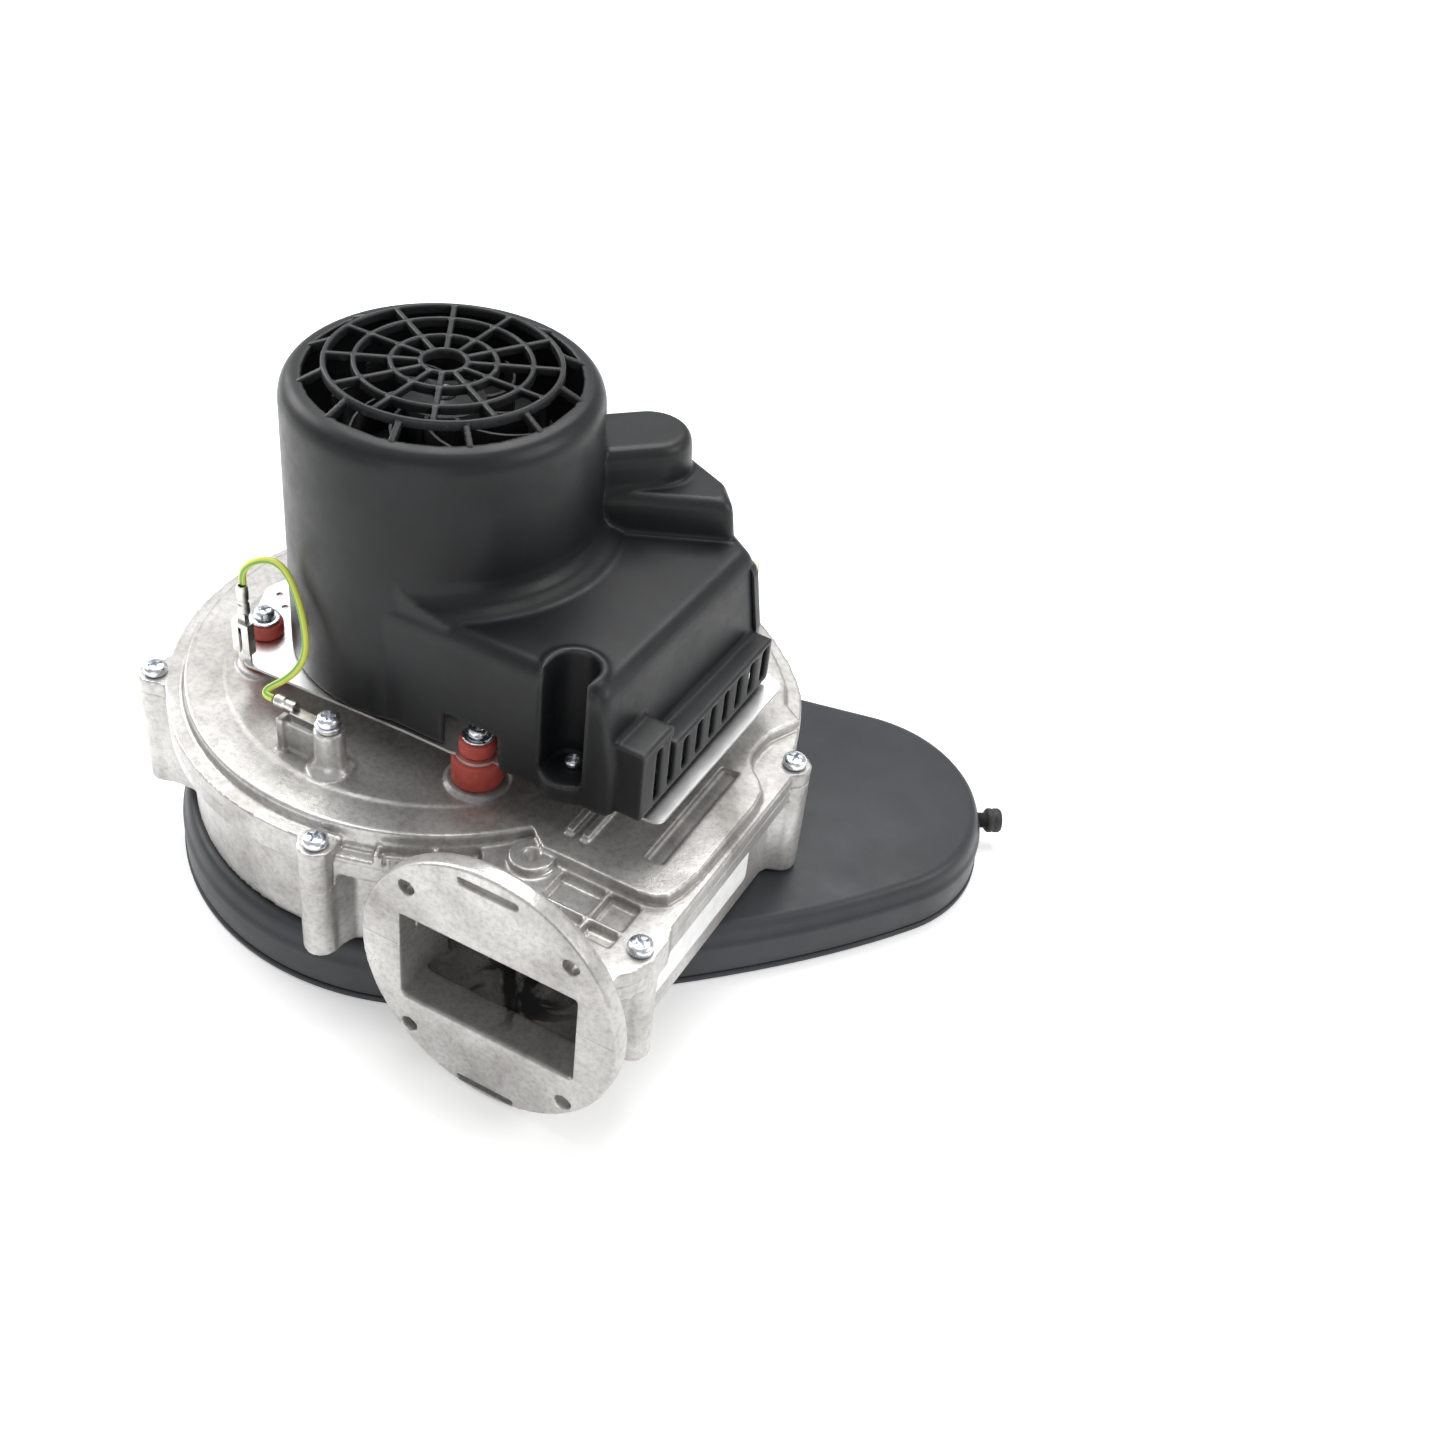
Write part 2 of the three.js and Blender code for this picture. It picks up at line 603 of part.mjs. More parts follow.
const EARTH_TAB_X = -51.5;
const EARTH_LUG_TOP = 112;
const through = (x, y, radius, sides) => disc(x, y, radius, PLATE_LOW - 9, PLATE_TOP + 10, sides);

{
  const outline = polygon([
    [-50, -60.5], [-44, -59.8], [24, -57.6], [43, -57.6], [49, -56], [57, -53.3],
    [93, -53.3], [93.5, -49], [126, -48], [126.5, 47], [108, 55], [70, 60],
    [22, 84], [-8, 86], [-20, 66], [-58, 40], [-74, -18], [-70, -27], [-56, -52],
  ]);
  let plate = prism(outline, PLATE_LOW, PLATE_TOP);
  for (const [x, y] of ISOLATORS) {
    plate = plate.subtract(through(x, y, ISOLATOR_NECK_R + GAP, 16));
  }
  plate = plate.subtract(through(0, 0, PLATE_CENTRE_HOLE_R, 24));
  for (const [x, y] of COVER_SCREWS) plate = plate.subtract(through(x, y, 1.9, 12));
  // two small tooling holes, and the upright lug for the earth receptacle
  plate = plate.subtract(through(-67.5, -18.6, 1.5, 10));
  plate = plate.subtract(through(-60.5, -24, 1.5, 10));
  const lug = box(EARTH_TAB_X - 3, EARTH_TAB_X + 3, -58.8, -57.9, PLATE_LOW, EARTH_LUG_TOP);
  add('motor_plate', join(plate, lug), sheetSteel);
}

// ---- motor cover ---------------------------------------------------------

// hood beside the cap, over the control board
const hoodOutline = (inset) => {
  const front = -57.5 + inset;
  const right = 106 - inset;
  return polygon([
    [-10, front + 1.5 + inset], [4, front], [right, front], [right + 2, 51 - inset],
    [86 - inset * 0.6, 64 - inset], [62, 75 - inset], [24, 78 - inset],
    [-30, 50 - inset], [-30, 0],
  ]);
};
// raised step at the hood's back corner
const stepOutline = (inset) => polygon([
  [40, 18 + inset], [62 - inset * 0.4, 31 + inset], [97 - inset, 52 - inset * 0.2],
  [86 - inset * 0.6, 64 - inset], [62, 75 - inset], [24, 78 - inset], [0, 50],
]);
// round lobe that stands highest behind the cap
const lobeOutline = (inset) => {
  const shape = new THREE.Shape();
  const centre = [55.5, 56];
  const lean = degrees(46);
  const radius = 16 - inset;
  const side = [-Math.sin(lean) * radius, Math.cos(lean) * radius];
  const inward = [-Math.cos(lean) * 30, -Math.sin(lean) * 30];
  shape.moveTo(centre[0] + side[0] + inward[0], centre[1] + side[1] + inward[1]);
  shape.lineTo(centre[0] - side[0] + inward[0], centre[1] - side[1] + inward[1]);
  shape.absarc(centre[0], centre[1], radius, lean - Math.PI / 2, lean + Math.PI / 2, false);
  return shape;
};

{
  const wall = COVER_WALL;
  const cap = turned([
    [0, COVER_LOW], [CAP_R + 1, COVER_LOW], [CAP_R, CAP_TOP - CAP_ROUND],
    [CAP_R - 2.5, CAP_TOP - 2.5], [CAP_R - CAP_ROUND, CAP_TOP], [0, CAP_TOP],
  ], 0, 0, 36);
  const under = COVER_LOW - 10.4;
  const outside = join(
    cap,
    prism(hoodOutline(0), COVER_LOW, HOOD_TOP),
    prism(stepOutline(0), HOOD_TOP - 1, HOOD_STEP_TOP),
    prism(lobeOutline(0), HOOD_STEP_TOP - 1, LOBE_TOP),
    box(COMB_BACK_X, COMB_X, COMB_FRONT_Y, COMB_BACK_Y, COMB_LOW, COMB_TOP),
    box(COMB_BACK_X, COMB_X, COMB_FRONT_Y, COMB_BLOCK_BACK_Y, COMB_LOW, COMB_BLOCK_TOP),
    disc(RECESS_X, RECESS_Y, RECESS_WALL_R - 0.4, COVER_LOW, RECESS_FLOOR + 2.5, 12),
  );
  const inside = join(
    turned([
      [0, under], [CAP_R + 1 - wall, under], [CAP_R - wall, CAP_TOP - CAP_ROUND],
      [CAP_R - 5, CAP_TOP - 4], [CAP_OPENING_R, CAP_TOP - 3], [CAP_OPENING_R, CAP_TOP + 5],
      [0, CAP_TOP + 5],
    ], 0, 0, 36),
    prism(hoodOutline(wall), under, HOOD_TOP - wall),
    prism(stepOutline(wall), HOOD_TOP - wall - 1, HOOD_STEP_TOP - wall),
    prism(lobeOutline(wall), HOOD_STEP_TOP - wall - 1, LOBE_TOP - wall),
    box(COMB_BACK_X - 1, COMB_X - wall, COMB_FRONT_Y + wall, COMB_BACK_Y - wall,
      under, COMB_TOP - wall),
    box(COMB_BACK_X - 1, COMB_X - wall, COMB_FRONT_Y + wall, COMB_BLOCK_BACK_Y - wall,
      under, COMB_BLOCK_TOP - wall),
  );
  // blind wall around the screw recess keeps the hood closed
  const recessWall = disc(RECESS_X, RECESS_Y, RECESS_WALL_R, RECESS_FLOOR - 2.5,
    HOOD_TOP - 0.5, 12);
  const recess = join(
    disc(RECESS_X, RECESS_Y, RECESS_R, RECESS_FLOOR, HOOD_TOP + 5, 12),
    box(RECESS_X - RECESS_R, RECESS_X + RECESS_R, RECESS_Y - 25, RECESS_Y,
      RECESS_FLOOR, HOOD_TOP + 5),
  );
  const hood = prism(hoodOutline(0), COVER_LOW, HOOD_TOP);
  const ringBar = GRILLE_BAR / 2;
  const grille = [];
  for (const radius of GRILLE_RINGS) {
    grille.push(tube(radius - ringBar, radius + ringBar, GRILLE_TOP - GRILLE_DEPTH, GRILLE_TOP,
      0, 0, radius > 30 ? 24 : 12));
  }
  for (let index = 0; index < GRILLE_BARS; index += 1) {
    const inner = box(GRILLE_RINGS[0], GRILLE_RINGS[3], -ringBar, ringBar,
      GRILLE_TOP - GRILLE_DEPTH + 0.2, GRILLE_TOP - 0.2);
    grille.push(inner.rotate([0, 0, index * 360 / GRILLE_BARS]));
    // outer bars slope down from the last ring to the rim of the cap
    const outer = prism(polygon([
      [GRILLE_RINGS[3], GRILLE_TOP - GRILLE_DEPTH], [CAP_OPENING_R + 1, CAP_TOP - 3],
      [CAP_OPENING_R + 1, CAP_TOP - 0.2], [GRILLE_RINGS[3], GRILLE_TOP - 0.6],
    ]), -ringBar, ringBar).rotate([90, 0, 0]);
    grille.push(outer.rotate([0, 0, (index + 0.5) * 360 / GRILLE_BARS]));
  }
  let cover = cut(outside, inside);
  cover = join(cover, recessWall.intersect(hood));
  cover = cut(cover, recess, disc(...COVER_SCREWS[0], 1.9, under, RECESS_FLOOR + 10.5, 12));
  cover = join(cover, ...grille);

  // cooling slots of the comb, taller under the raised block
  for (let index = 0; index < COMB_SLOTS; index += 1) {
    const y = COMB_FIRST_SLOT_Y + index * COMB_PITCH;
    const top = index < 2 ? COMB_BLOCK_TOP - 5 : COMB_TOP - 1.5;
    cover = cover.subtract(box(COMB_X - 6, COMB_X + 1, y - COMB_SLOT_HALF, y + COMB_SLOT_HALF,
      COMB_SLOT_LOW, top));
  }
  // notch that clears the front isolator and its screw
  const [notchX, notchY] = ISOLATORS[0];
  cover = cover.subtract(box(notchX - 11.8, notchX + 12.2, notchY - 18.3, notchY + 13.7,
    PLATE_LOW - 3.9, ISOLATOR_TOP + 9.5));
  // the side isolators stand in cut-backs of the cap wall
  for (const [x, y] of ISOLATORS.slice(1)) {
    cover = cover.subtract(disc(x, y, ISOLATOR_R - 0.9, PLATE_LOW - 3.9, ISOLATOR_TOP + 10.5, 12));
  }
  // window for the power connector, closed by the rear cover
  cover = cover.subtract(box(70, 112, 50, 90, WINDOW_LOW, WINDOW_TOP));
  // screw bosses inside the cover, joined to its walls
  for (const [x, y] of COVER_SCREWS.slice(1)) {
    const rib = box(x - 1.2, x + 1.2, y, y + 20, COVER_LOW, BOSS_TOP);
    const boss = join(disc(x, y, 5, COVER_LOW, BOSS_TOP, 12), rib).intersect(outside);
    cover = join(cover, boss).subtract(disc(x, y, 1.4, COVER_LOW - 1.4, BOSS_TOP - 4, 12));
  }
  add('motor_cover', cover, coverPlastic);
}

COVER_SCREWS.forEach(([x, y], index) => {
  // the front screw is driven down into its recess, the others up through the plate
  const number = index + 1;
  if (index === 0) {
    const screw = panScrew(x, y, RECESS_FLOOR + GAP, 1.6, 14, 3.3, 2.6);
    add(`cover_screw_${number}`, screw, zincScrew);
  } else {
    const head = panScrew(0, 0, 0, 1.1, 11, 3.2, 2.4).rotate([180, 0, 0])
      .translate([x, y, PLATE_LOW - GAP]);
    add(`cover_screw_${number}`, head, zincScrew);
  }
});

// rear cover plate that closes the connector window, and the plug header in it
const HEADER_X = 97.5;
const HEADER_LOW = 127;
const HEADER_TOP = 137;

{
  const back = polygon([
    [107.6, 53.6], [109.6, 54.6], [88, 67.6], [72, 75], [71, 72.6], [86.8, 65.4],
  ]);
  const opening = box(HEADER_X - 5.5, HEADER_X + 5.5, 50, 75, HEADER_LOW - 1, HEADER_TOP + 1);
  add('rear_cover', cut(prism(back, WINDOW_LOW - 2, WINDOW_TOP + 2), opening), coverPlastic);
  const header = box(HEADER_X - 4.5, HEADER_X + 4.5, 40, 68, HEADER_LOW, HEADER_TOP);
  const socket = box(HEADER_X - 3, HEADER_X + 3, 58, 70, HEADER_LOW + 1.5, HEADER_TOP - 1.5);
  add('power_connector', cut(header, socket), beigePlastic);
}

// ---- earth bonding -------------------------------------------------------

const RECEPTACLE_LOW = 104;
const RECEPTACLE_TOP = 119;
const CRIMP_R = 2;
const CRIMP_TOP = 134;
const RING_THICK = 0.9;
const EARTH_WIRE_R = 1.4;
const EARTH_ROUTE = [
  [-51.4, -56, 134.5], [-51.2, -56.6, 139], [-48.6, -57, 143.8], [-44.6, -56.4, 147.4],
  [-40.4, -54.4, 149], [-36, -53.6, 148.6], [-31.6, -54.2, 146.8], [-27, -56.2, 143.2],
  [-22.6, -58.6, 138.2], [-19.2, -61, 132.4], [-17.4, -62.6, 126.6], [-17, -64.2, 121.6],
  [-17.8, -66.2, 117.4], [-19.8, -68.8, 113.8], [-22.6, -71.2, 111], [-25.2, -73.2, 109.2],
  [-26.8, -75.2, 107.8], [-26.4, -76.8, 107], [-24.6, -77.2, 106.8], [-22.4, -77, 106.8],
];

{
  const route = new THREE.CatmullRomCurve3(EARTH_ROUTE.map((p) => new THREE.Vector3(...p)));
  const section = new THREE.Shape();
  const sides = 8;
  for (let index = 0; index < sides; index += 1) {
    const [x, y] = atAngle(EARTH_WIRE_R, index * 2 * Math.PI / sides);
    if (index === 0) section.moveTo(x, y);
    else section.lineTo(x, y);
  }
  const wire = new THREE.ExtrudeGeometry(section, {
    extrudePath: route,
    steps: 24,
    bevelEnabled: false,
  });
  add('earth_wire', toManifold(wire), wireGreenYellow);

  // receptacle pushed over the plate's lug, with its crimp above
  const receptacle = cut(
    box(EARTH_TAB_X - 3.9, EARTH_TAB_X + 3.9, -60.2, -56.5, RECEPTACLE_LOW, RECEPTACLE_TOP),
    box(EARTH_TAB_X - 3.4, EARTH_TAB_X + 3.4, -59.3, -57.4, RECEPTACLE_LOW - 4,
      EARTH_LUG_TOP + 1),
  );
  const crimp = turned([
    [0, RECEPTACLE_TOP - 0.5], [CRIMP_R, RECEPTACLE_TOP - 0.5],
    [CRIMP_R, CRIMP_TOP], [0, CRIMP_TOP],
  ], EARTH_TAB_X + 0.1, -57.2, 12);
  add('earth_receptacle', join(receptacle, crimp), tinnedBrass);

  // ring terminal clamped on the boss by the earth screw
  const ringLow = EARTH_TOP + GAP;
  const ring = cut(
    join(
      disc(EARTH_X, EARTH_Y, 4.6, ringLow, ringLow + RING_THICK, 16),
      box(-14, EARTH_X, EARTH_Y - 2, EARTH_Y + 2, ringLow, ringLow + RING_THICK),
      box(-21.6, -12, EARTH_Y - 2.4, EARTH_Y + 2.4, ringLow, ringLow + 4.4),
    ),
    disc(EARTH_X, EARTH_Y, 2.6, ringLow - 10, ringLow + 10, 12),
  );
  add('earth_ring_terminal', ring, tinnedBrass);
  const washerLow = ringLow + RING_THICK + GAP;
  const washerTop = washerLow + WASHER_THICK;
  add('earth_washer', tube(2.5, 5, washerLow, washerTop, EARTH_X, EARTH_Y, 16), zincScrew);
  add('earth_screw', panScrew(EARTH_X, EARTH_Y, washerTop + GAP, 2, 14, 4.4, 3.4), zincScrew);
}

// ---- motor: fixed pieces -------------------------------------------------

{
  // bearing tube and lower end shield on the plate
  const lowerShield = turned([
    [9, 92], [13, 92], [13, 98], [17.4, 98], [17.4, 103], [40, 103], [SHIELD_R, 108],
    [SHIELD_R, STATOR_LOW - 4], [SHIELD_IN_R, STATOR_LOW - 4], [SHIELD_IN_R, 110], [39, 106.5],
    [16, 106.5], [16, 112], [BEARING_R + GAP, 112], [BEARING_R + GAP, LOWER_BEARING_LOW - GAP],
    [9, LOWER_BEARING_LOW - GAP], [9, 92],
  ], 0, 0, 20);
  add('lower_end_shield', lowerShield, castAluminium);
  const upperShield = turned([
    [7, 176], [14.4, 176], [14.4, 172], [30, 172], [SHIELD_R, 166], [SHIELD_R, STATOR_TOP + 2],
    [SHIELD_IN_R, STATOR_TOP + 2], [SHIELD_IN_R, 164.5], [29, 169], [BEARING_R + GAP, 169],
    [BEARING_R + GAP, 174], [7, 174], [7, 176],
  ], 0, 0, 20);
  const vents = [];
  for (let index = 0; index < 6; index += 1) {
    vents.push(box(20, 34, -5, 5, 160, 180).rotate([0, 0, index * 60 + 30]));
  }
  add('upper_end_shield', cut(upperShield, ...vents), castAluminium);

  // laminated stator with six poles
  let core = tube(38, STATOR_OUT_R, STATOR_LOW, STATOR_TOP, 0, 0, 24);
  for (let index = 0; index < COILS; index += 1) {
    const turnBy = [0, 0, index * 360 / COILS];
    core = core.add(box(STATOR_IN_R + 2, 39, -4.5, 4.5, STATOR_LOW, STATOR_TOP).rotate(turnBy));
    core = core.add(box(STATOR_IN_R, 28.4, -9, 9, STATOR_LOW, STATOR_TOP).rotate(turnBy));
  }
  core = core.subtract(disc(0, 0, STATOR_IN_R, STATOR_LOW - 1, STATOR_TOP + 1, 24));
  add('stator_core', core, lamination);
  for (let index = 0; index < COILS; index += 1) {
    const coil = cut(
      box(28.8, 36.6, -8, 8, STATOR_LOW - 3.4, STATOR_TOP + 1.7),
      box(27, 38, -4.8, 4.8, STATOR_LOW - 0.3, STATOR_TOP + 0.3),
    );
    add(`stator_coil_${index + 1}`, coil.rotate([0, 0, index * 360 / COILS]), copperWire);
  }

  const boreR = SHAFT_R + GAP;
  const bearing = (low) => tube(boreR, BEARING_R, low, low + BEARING_WIDTH, 0, 0, 16);
  add('lower_bearing', bearing(LOWER_BEARING_LOW), sheetSteel);
  add('upper_bearing', bearing(UPPER_BEARING_LOW), sheetSteel);

  // lip seal between the volute and the motor
  const lipSeal = tube(boreR, SHAFT_HOLE_R - GAP, CEILING - 1, DECK_STEP_TOP + GAP, 0, 0, 16);
  add('shaft_seal', lipSeal, blackRubber);

  // control board in the hood, with its two storage capacitors
  add('circuit_board', box(62, 103, -30, 26, BOARD_LOW, BOARD_LOW + BOARD_THICK), boardGreen);
  const capacitor = (y) => disc(CAPACITOR_X, y, CAPACITOR_R, PARTS_LOW, CAPACITOR_TOP, 14);
  add('capacitor_1', capacitor(-18), canAluminium);
  add('capacitor_2', capacitor(4), canAluminium);
  add('heat_sink', cut(
    box(88, 100, -26, 22, PARTS_LOW, PARTS_LOW + 28),
    ...[-18, -6, 6, 18].map((y) => box(91, 101, y - 4, y + 2, PARTS_LOW + 2, PARTS_LOW + 30)),
  ), castAluminium);
}

// ---- rotor: everything that turns ---------------------------------------

{
  const shaft = turned([
    [0, SHAFT_LOW], [SHAFT_R - 0.5, SHAFT_LOW], [SHAFT_R, SHAFT_LOW + 1],
    [SHAFT_R, SHAFT_TOP - 1], [SHAFT_R - 0.5, SHAFT_TOP], [0, SHAFT_TOP],
  ], 0, 0, 16);
  add('shaft', shaft, sheetSteel);
  const core = tube(SHAFT_R + GAP, ROTOR_CORE_R, STATOR_LOW + 1, STATOR_TOP - 1, 0, 0, 20);
  add('rotor_core', core, lamination);
  const magnet = tube(ROTOR_CORE_R + GAP, STATOR_IN_R - 0.9, STATOR_LOW, STATOR_TOP, 0, 0, 24);
  add('rotor_magnet', magnet, magnetGrey);

  // radial impeller: back disc, backward-curved blades, inlet shroud
  const backDisc = turned([
    [SHAFT_R + GAP, HUB_LOW], [HUB_R - 2, HUB_LOW], [HUB_R, HUB_LOW + 10],
    [IMPELLER_R, IMPELLER_TOP - 1.6], [IMPELLER_R, IMPELLER_TOP], [HUB_R, IMPELLER_TOP],
    [SHAFT_R + GAP, IMPELLER_TOP + 1], [SHAFT_R + GAP, HUB_LOW],
  ], 0, 0, 24);
  const shroud = turned([
    [SHROUD_IN_R, IMPELLER_LOW - 1], [SHROUD_IN_R + 1.4, IMPELLER_LOW - 1],
    [SHROUD_IN_R + 2.4, IMPELLER_LOW + 3], [IMPELLER_R, IMPELLER_LOW + SHROUD_RISE],
    [IMPELLER_R, IMPELLER_LOW + SHROUD_RISE + 1.4], [SHROUD_IN_R + 1.4, IMPELLER_LOW + 4.6],
    [SHROUD_IN_R, IMPELLER_LOW - 1],
  ], 0, 0, 24);
  const blades = [];
  for (let index = 0; index < IMPELLER_BLADES; index += 1) {
    const blade = prism(bladeShape(BLADE_IN_R, IMPELLER_R - 0.6, BLADE_THICK, degrees(38)),
      IMPELLER_LOW + 3, IMPELLER_TOP - 0.8);
    blades.push(blade.rotate([0, 0, index * 360 / IMPELLER_BLADES]));
  }
  const shroudSpace = turned([
    [30, IMPELLER_LOW - 5], [SHROUD_IN_R + 2.2, IMPELLER_LOW + 2.6],
    [IMPELLER_R + 2, IMPELLER_LOW + SHROUD_RISE + 0.5], [IMPELLER_R + 2, 10], [30, 10],
    [30, IMPELLER_LOW - 5],
  ], 0, 0, 24);
  const bladeRing = cut(join(...blades), shroudSpace);
  add('impeller', join(backDisc, shroud, bladeRing), rolledAluminium);
  const nut = cut(
    disc(0, 0, NUT_R, HUB_LOW - 8, HUB_LOW - 0.4, 6),
    disc(0, 0, SHAFT_R + GAP, HUB_LOW - 10, HUB_LOW + 2, 20),
  );
  add('impeller_nut', nut, zincScrew);

  // cooling fan under the grille, standing blades on a flat carrier
  const hub = turned([
    [SHAFT_R + GAP, FAN_LOW - 1], [FAN_HUB_R - 1, FAN_LOW - 1], [FAN_HUB_R, FAN_TOP - 3],
    [FAN_HUB_R - 3, FAN_TOP],
    [SHAFT_R + GAP, FAN_TOP], [SHAFT_R + GAP, FAN_LOW - 1],
  ], 0, 0, 16);
  const carrier = tube(FAN_HUB_R - 2, FAN_R, FAN_LOW - 1, FAN_LOW + 0.8, 0, 0, 28);
  const fanBlades = [];
  for (let index = 0; index < FAN_BLADES; index += 1) {
    const blade = prism(bladeShape(20, FAN_R - 0.5, BLADE_THICK, degrees(50)),
      FAN_LOW, FAN_TOP - 1);
    fanBlades.push(blade.rotate([0, 0, index * 360 / FAN_BLADES]));
  }
  add('cooling_fan', join(hub, carrier, ...fanBlades), coverPlastic);
}

// curved blade between two radii, swept back by an angle
function bladeShape(inner, outer, thickness, sweep) {
  const front = [];
  const rear = [];
  const steps = 2;
  for (let step = 0; step <= steps; step += 1) {
    const t = step / steps;
    const radius = inner + (outer - inner) * t;
    const angle = sweep * t ** 1.2;
    const half = thickness / 2 / radius;
    front.push(atAngle(radius, angle + half));
    rear.unshift(atAngle(radius, angle - half));
  }
  return polygon([...rear.reverse(), ...front.reverse()]);
}

export default fan;
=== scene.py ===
import math

import bmesh
import bpy
from mathutils import Matrix, Vector


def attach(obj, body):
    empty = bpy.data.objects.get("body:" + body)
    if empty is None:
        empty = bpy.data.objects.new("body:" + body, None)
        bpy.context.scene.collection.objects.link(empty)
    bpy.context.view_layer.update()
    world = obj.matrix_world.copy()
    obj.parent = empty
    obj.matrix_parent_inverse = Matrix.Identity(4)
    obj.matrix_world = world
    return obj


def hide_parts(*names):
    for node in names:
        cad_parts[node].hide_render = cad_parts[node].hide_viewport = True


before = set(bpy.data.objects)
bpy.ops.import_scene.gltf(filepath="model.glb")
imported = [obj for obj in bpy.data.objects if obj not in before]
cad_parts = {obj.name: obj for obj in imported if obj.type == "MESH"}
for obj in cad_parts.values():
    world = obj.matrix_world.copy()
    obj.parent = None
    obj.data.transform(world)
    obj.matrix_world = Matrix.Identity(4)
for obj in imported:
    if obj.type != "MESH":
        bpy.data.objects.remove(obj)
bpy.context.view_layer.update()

# ---- the studio ----------------------------------------------------------
# The fan stands on a pale seamless floor under broad soft lamps and is seen
# from the front left and above, the way it would lie on an inspection bench.

lens = bpy.data.cameras.new("bench_lens")
lens.lens = 43.02
lens.sensor_width = 36
lens.clip_start = 0.01
camera = bpy.data.objects.new("bench_camera", lens)
to_right = Vector((0.87665, 0.47096, 0.09840))
to_top = Vector((-0.37145, 0.53251, 0.76057))
to_viewer = Vector((0.30580, -0.70330, 0.64176))
camera.matrix_world = Matrix.Translation((0.32048, -0.45117, 0.52456)) @ Matrix(
    (to_right, to_top, to_viewer)
).transposed().to_4x4()
bpy.context.scene.collection.objects.link(camera)
bpy.context.scene.camera = camera


def soft_lamp(name, place, aim, width, watts, tint=(1, 1, 1)):
    light = bpy.data.lights.new(name, "AREA")
    light.size = width
    light.energy = watts
    light.color = tint
    lamp = bpy.data.objects.new(name, light)
    lamp.location = place
    lamp.rotation_euler = (Vector(aim) - Vector(place)).to_track_quat("-Z", "Y").to_euler()
    bpy.context.scene.collection.objects.link(lamp)


soft_lamp("overhead_softbox", (-0.25, 0.6, 1.5), (0.04, 0, 0.1), 1.2, 27)
soft_lamp("left_softbox", (-1.2, 0.1, 0.8), (0, 0, 0.1), 0.7, 11)
soft_lamp("right_softbox", (1.3, 0.4, 0.9), (0.05, 0, 0.12), 0.7, 8)
soft_lamp("front_fill", (0.4, -1.4, 0.3), (0.05, 0, 0.05), 0.9, 4.0)

sky = bpy.data.worlds.new("studio_air")
sky.use_nodes = True
sky.node_tree.nodes["Background"].inputs["Color"].default_value = (1, 1, 1, 1)
sky.node_tree.nodes["Background"].inputs["Strength"].default_value = 0.5
bpy.context.scene.world = sky
bpy.context.scene.view_settings.view_transform = "Standard"

floor_form = bmesh.new()
bmesh.ops.create_grid(floor_form, x_segments=8, y_segments=8, size=4)
FLOOR_GAP = 0.0004
bmesh.ops.translate(floor_form, verts=floor_form.verts, vec=(0, 0, -FLOOR_GAP))
floor_mesh = bpy.data.meshes.new("floor")
floor_form.to_mesh(floor_mesh)
floor = bpy.data.objects.new("floor", floor_mesh)
bpy.context.scene.collection.objects.link(floor)


def node_maker(name):
    """A new material, with a short way to add nodes to it and to link them."""
    material = bpy.data.materials.new(name)
    material.use_nodes = True
    tree = material.node_tree
    shader = tree.nodes["Principled BSDF"]

    def node(kind, **settings):
        made = tree.nodes.new(kind)
        for key, value in settings.items():
            if key.startswith("in_"):
                made.inputs[key[3:].replace("_", " ").title()].default_value = value
            else:
                setattr(made, key, value)
        return made

    return material, shader, node, tree.links.new


def colour_steps(node, stops):
    """A colour ramp through stops of a position and a colour."""
    ramp = node("ShaderNodeValToRGB")
    ramp.color_ramp.elements[0].position = stops[0][0]
    ramp.color_ramp.elements[0].color = (*stops[0][1], 1)
    ramp.color_ramp.elements[1].position = stops[-1][0]
    ramp.color_ramp.elements[1].color = (*stops[-1][1], 1)
    for position, colour in stops[1:-1]:
        ramp.color_ramp.elements.new(position).color = (*colour, 1)
    return ramp


def mottled(name, stops, scale, detail, rough, metallic=0.0, relief=None, fade=0.5,
            stretch=(1, 1, 1)):
    """A material whose tone follows one noise. Its sheen does too where rough is a pair,
    and so does a fine relief, given as its strength and depth."""
    material, shader, node, wire_up = node_maker(name)
    place = node("ShaderNodeTexCoord")
    pull = node("ShaderNodeMapping")
    pull.inputs["Scale"].default_value = stretch
    noise = node("ShaderNodeTexNoise", in_scale=scale, in_detail=detail, in_roughness=fade)
    tone = colour_steps(node, stops)
    wire_up(place.outputs["Object"], pull.inputs["Vector"])
    wire_up(pull.outputs["Vector"], noise.inputs["Vector"])
    wire_up(noise.outputs["Fac"], tone.inputs["Fac"])
    wire_up(tone.outputs["Color"], shader.inputs["Base Color"])
    if isinstance(rough, tuple):
        spread = node("ShaderNodeMapRange")
        spread.inputs["To Min"].default_value, spread.inputs["To Max"].default_value = rough
        wire_up(noise.outputs["Fac"], spread.inputs["Value"])
        wire_up(spread.outputs["Result"], shader.inputs["Roughness"])
    else:
        shader.inputs["Roughness"].default_value = rough
    if relief:
        bump = node("ShaderNodeBump", in_strength=relief[0], in_distance=relief[1])
        wire_up(noise.outputs["Fac"], bump.inputs["Height"])
        wire_up(bump.outputs["Normal"], shader.inputs["Normal"])
    shader.inputs["Metallic"].default_value = metallic
    return material


paper = mottled("pale_paper", [(0.3, (0.90, 0.90, 0.90)), (0.7, (0.94, 0.94, 0.94))],
                3.0, 3.0, 0.9)
shader = paper.node_tree.nodes["Principled BSDF"]
shader.inputs["Emission Color"].default_value = (1, 1, 1, 1)
shader.inputs["Emission Strength"].default_value = 0.3
floor_mesh.materials.append(paper)

# ---- earth wire ----------------------------------------------------------
# A short PVC insulated stranded wire, yellow with green stripes. It bonds the
# motor plate to the boss on the casting, and is crimped at both of its ends.

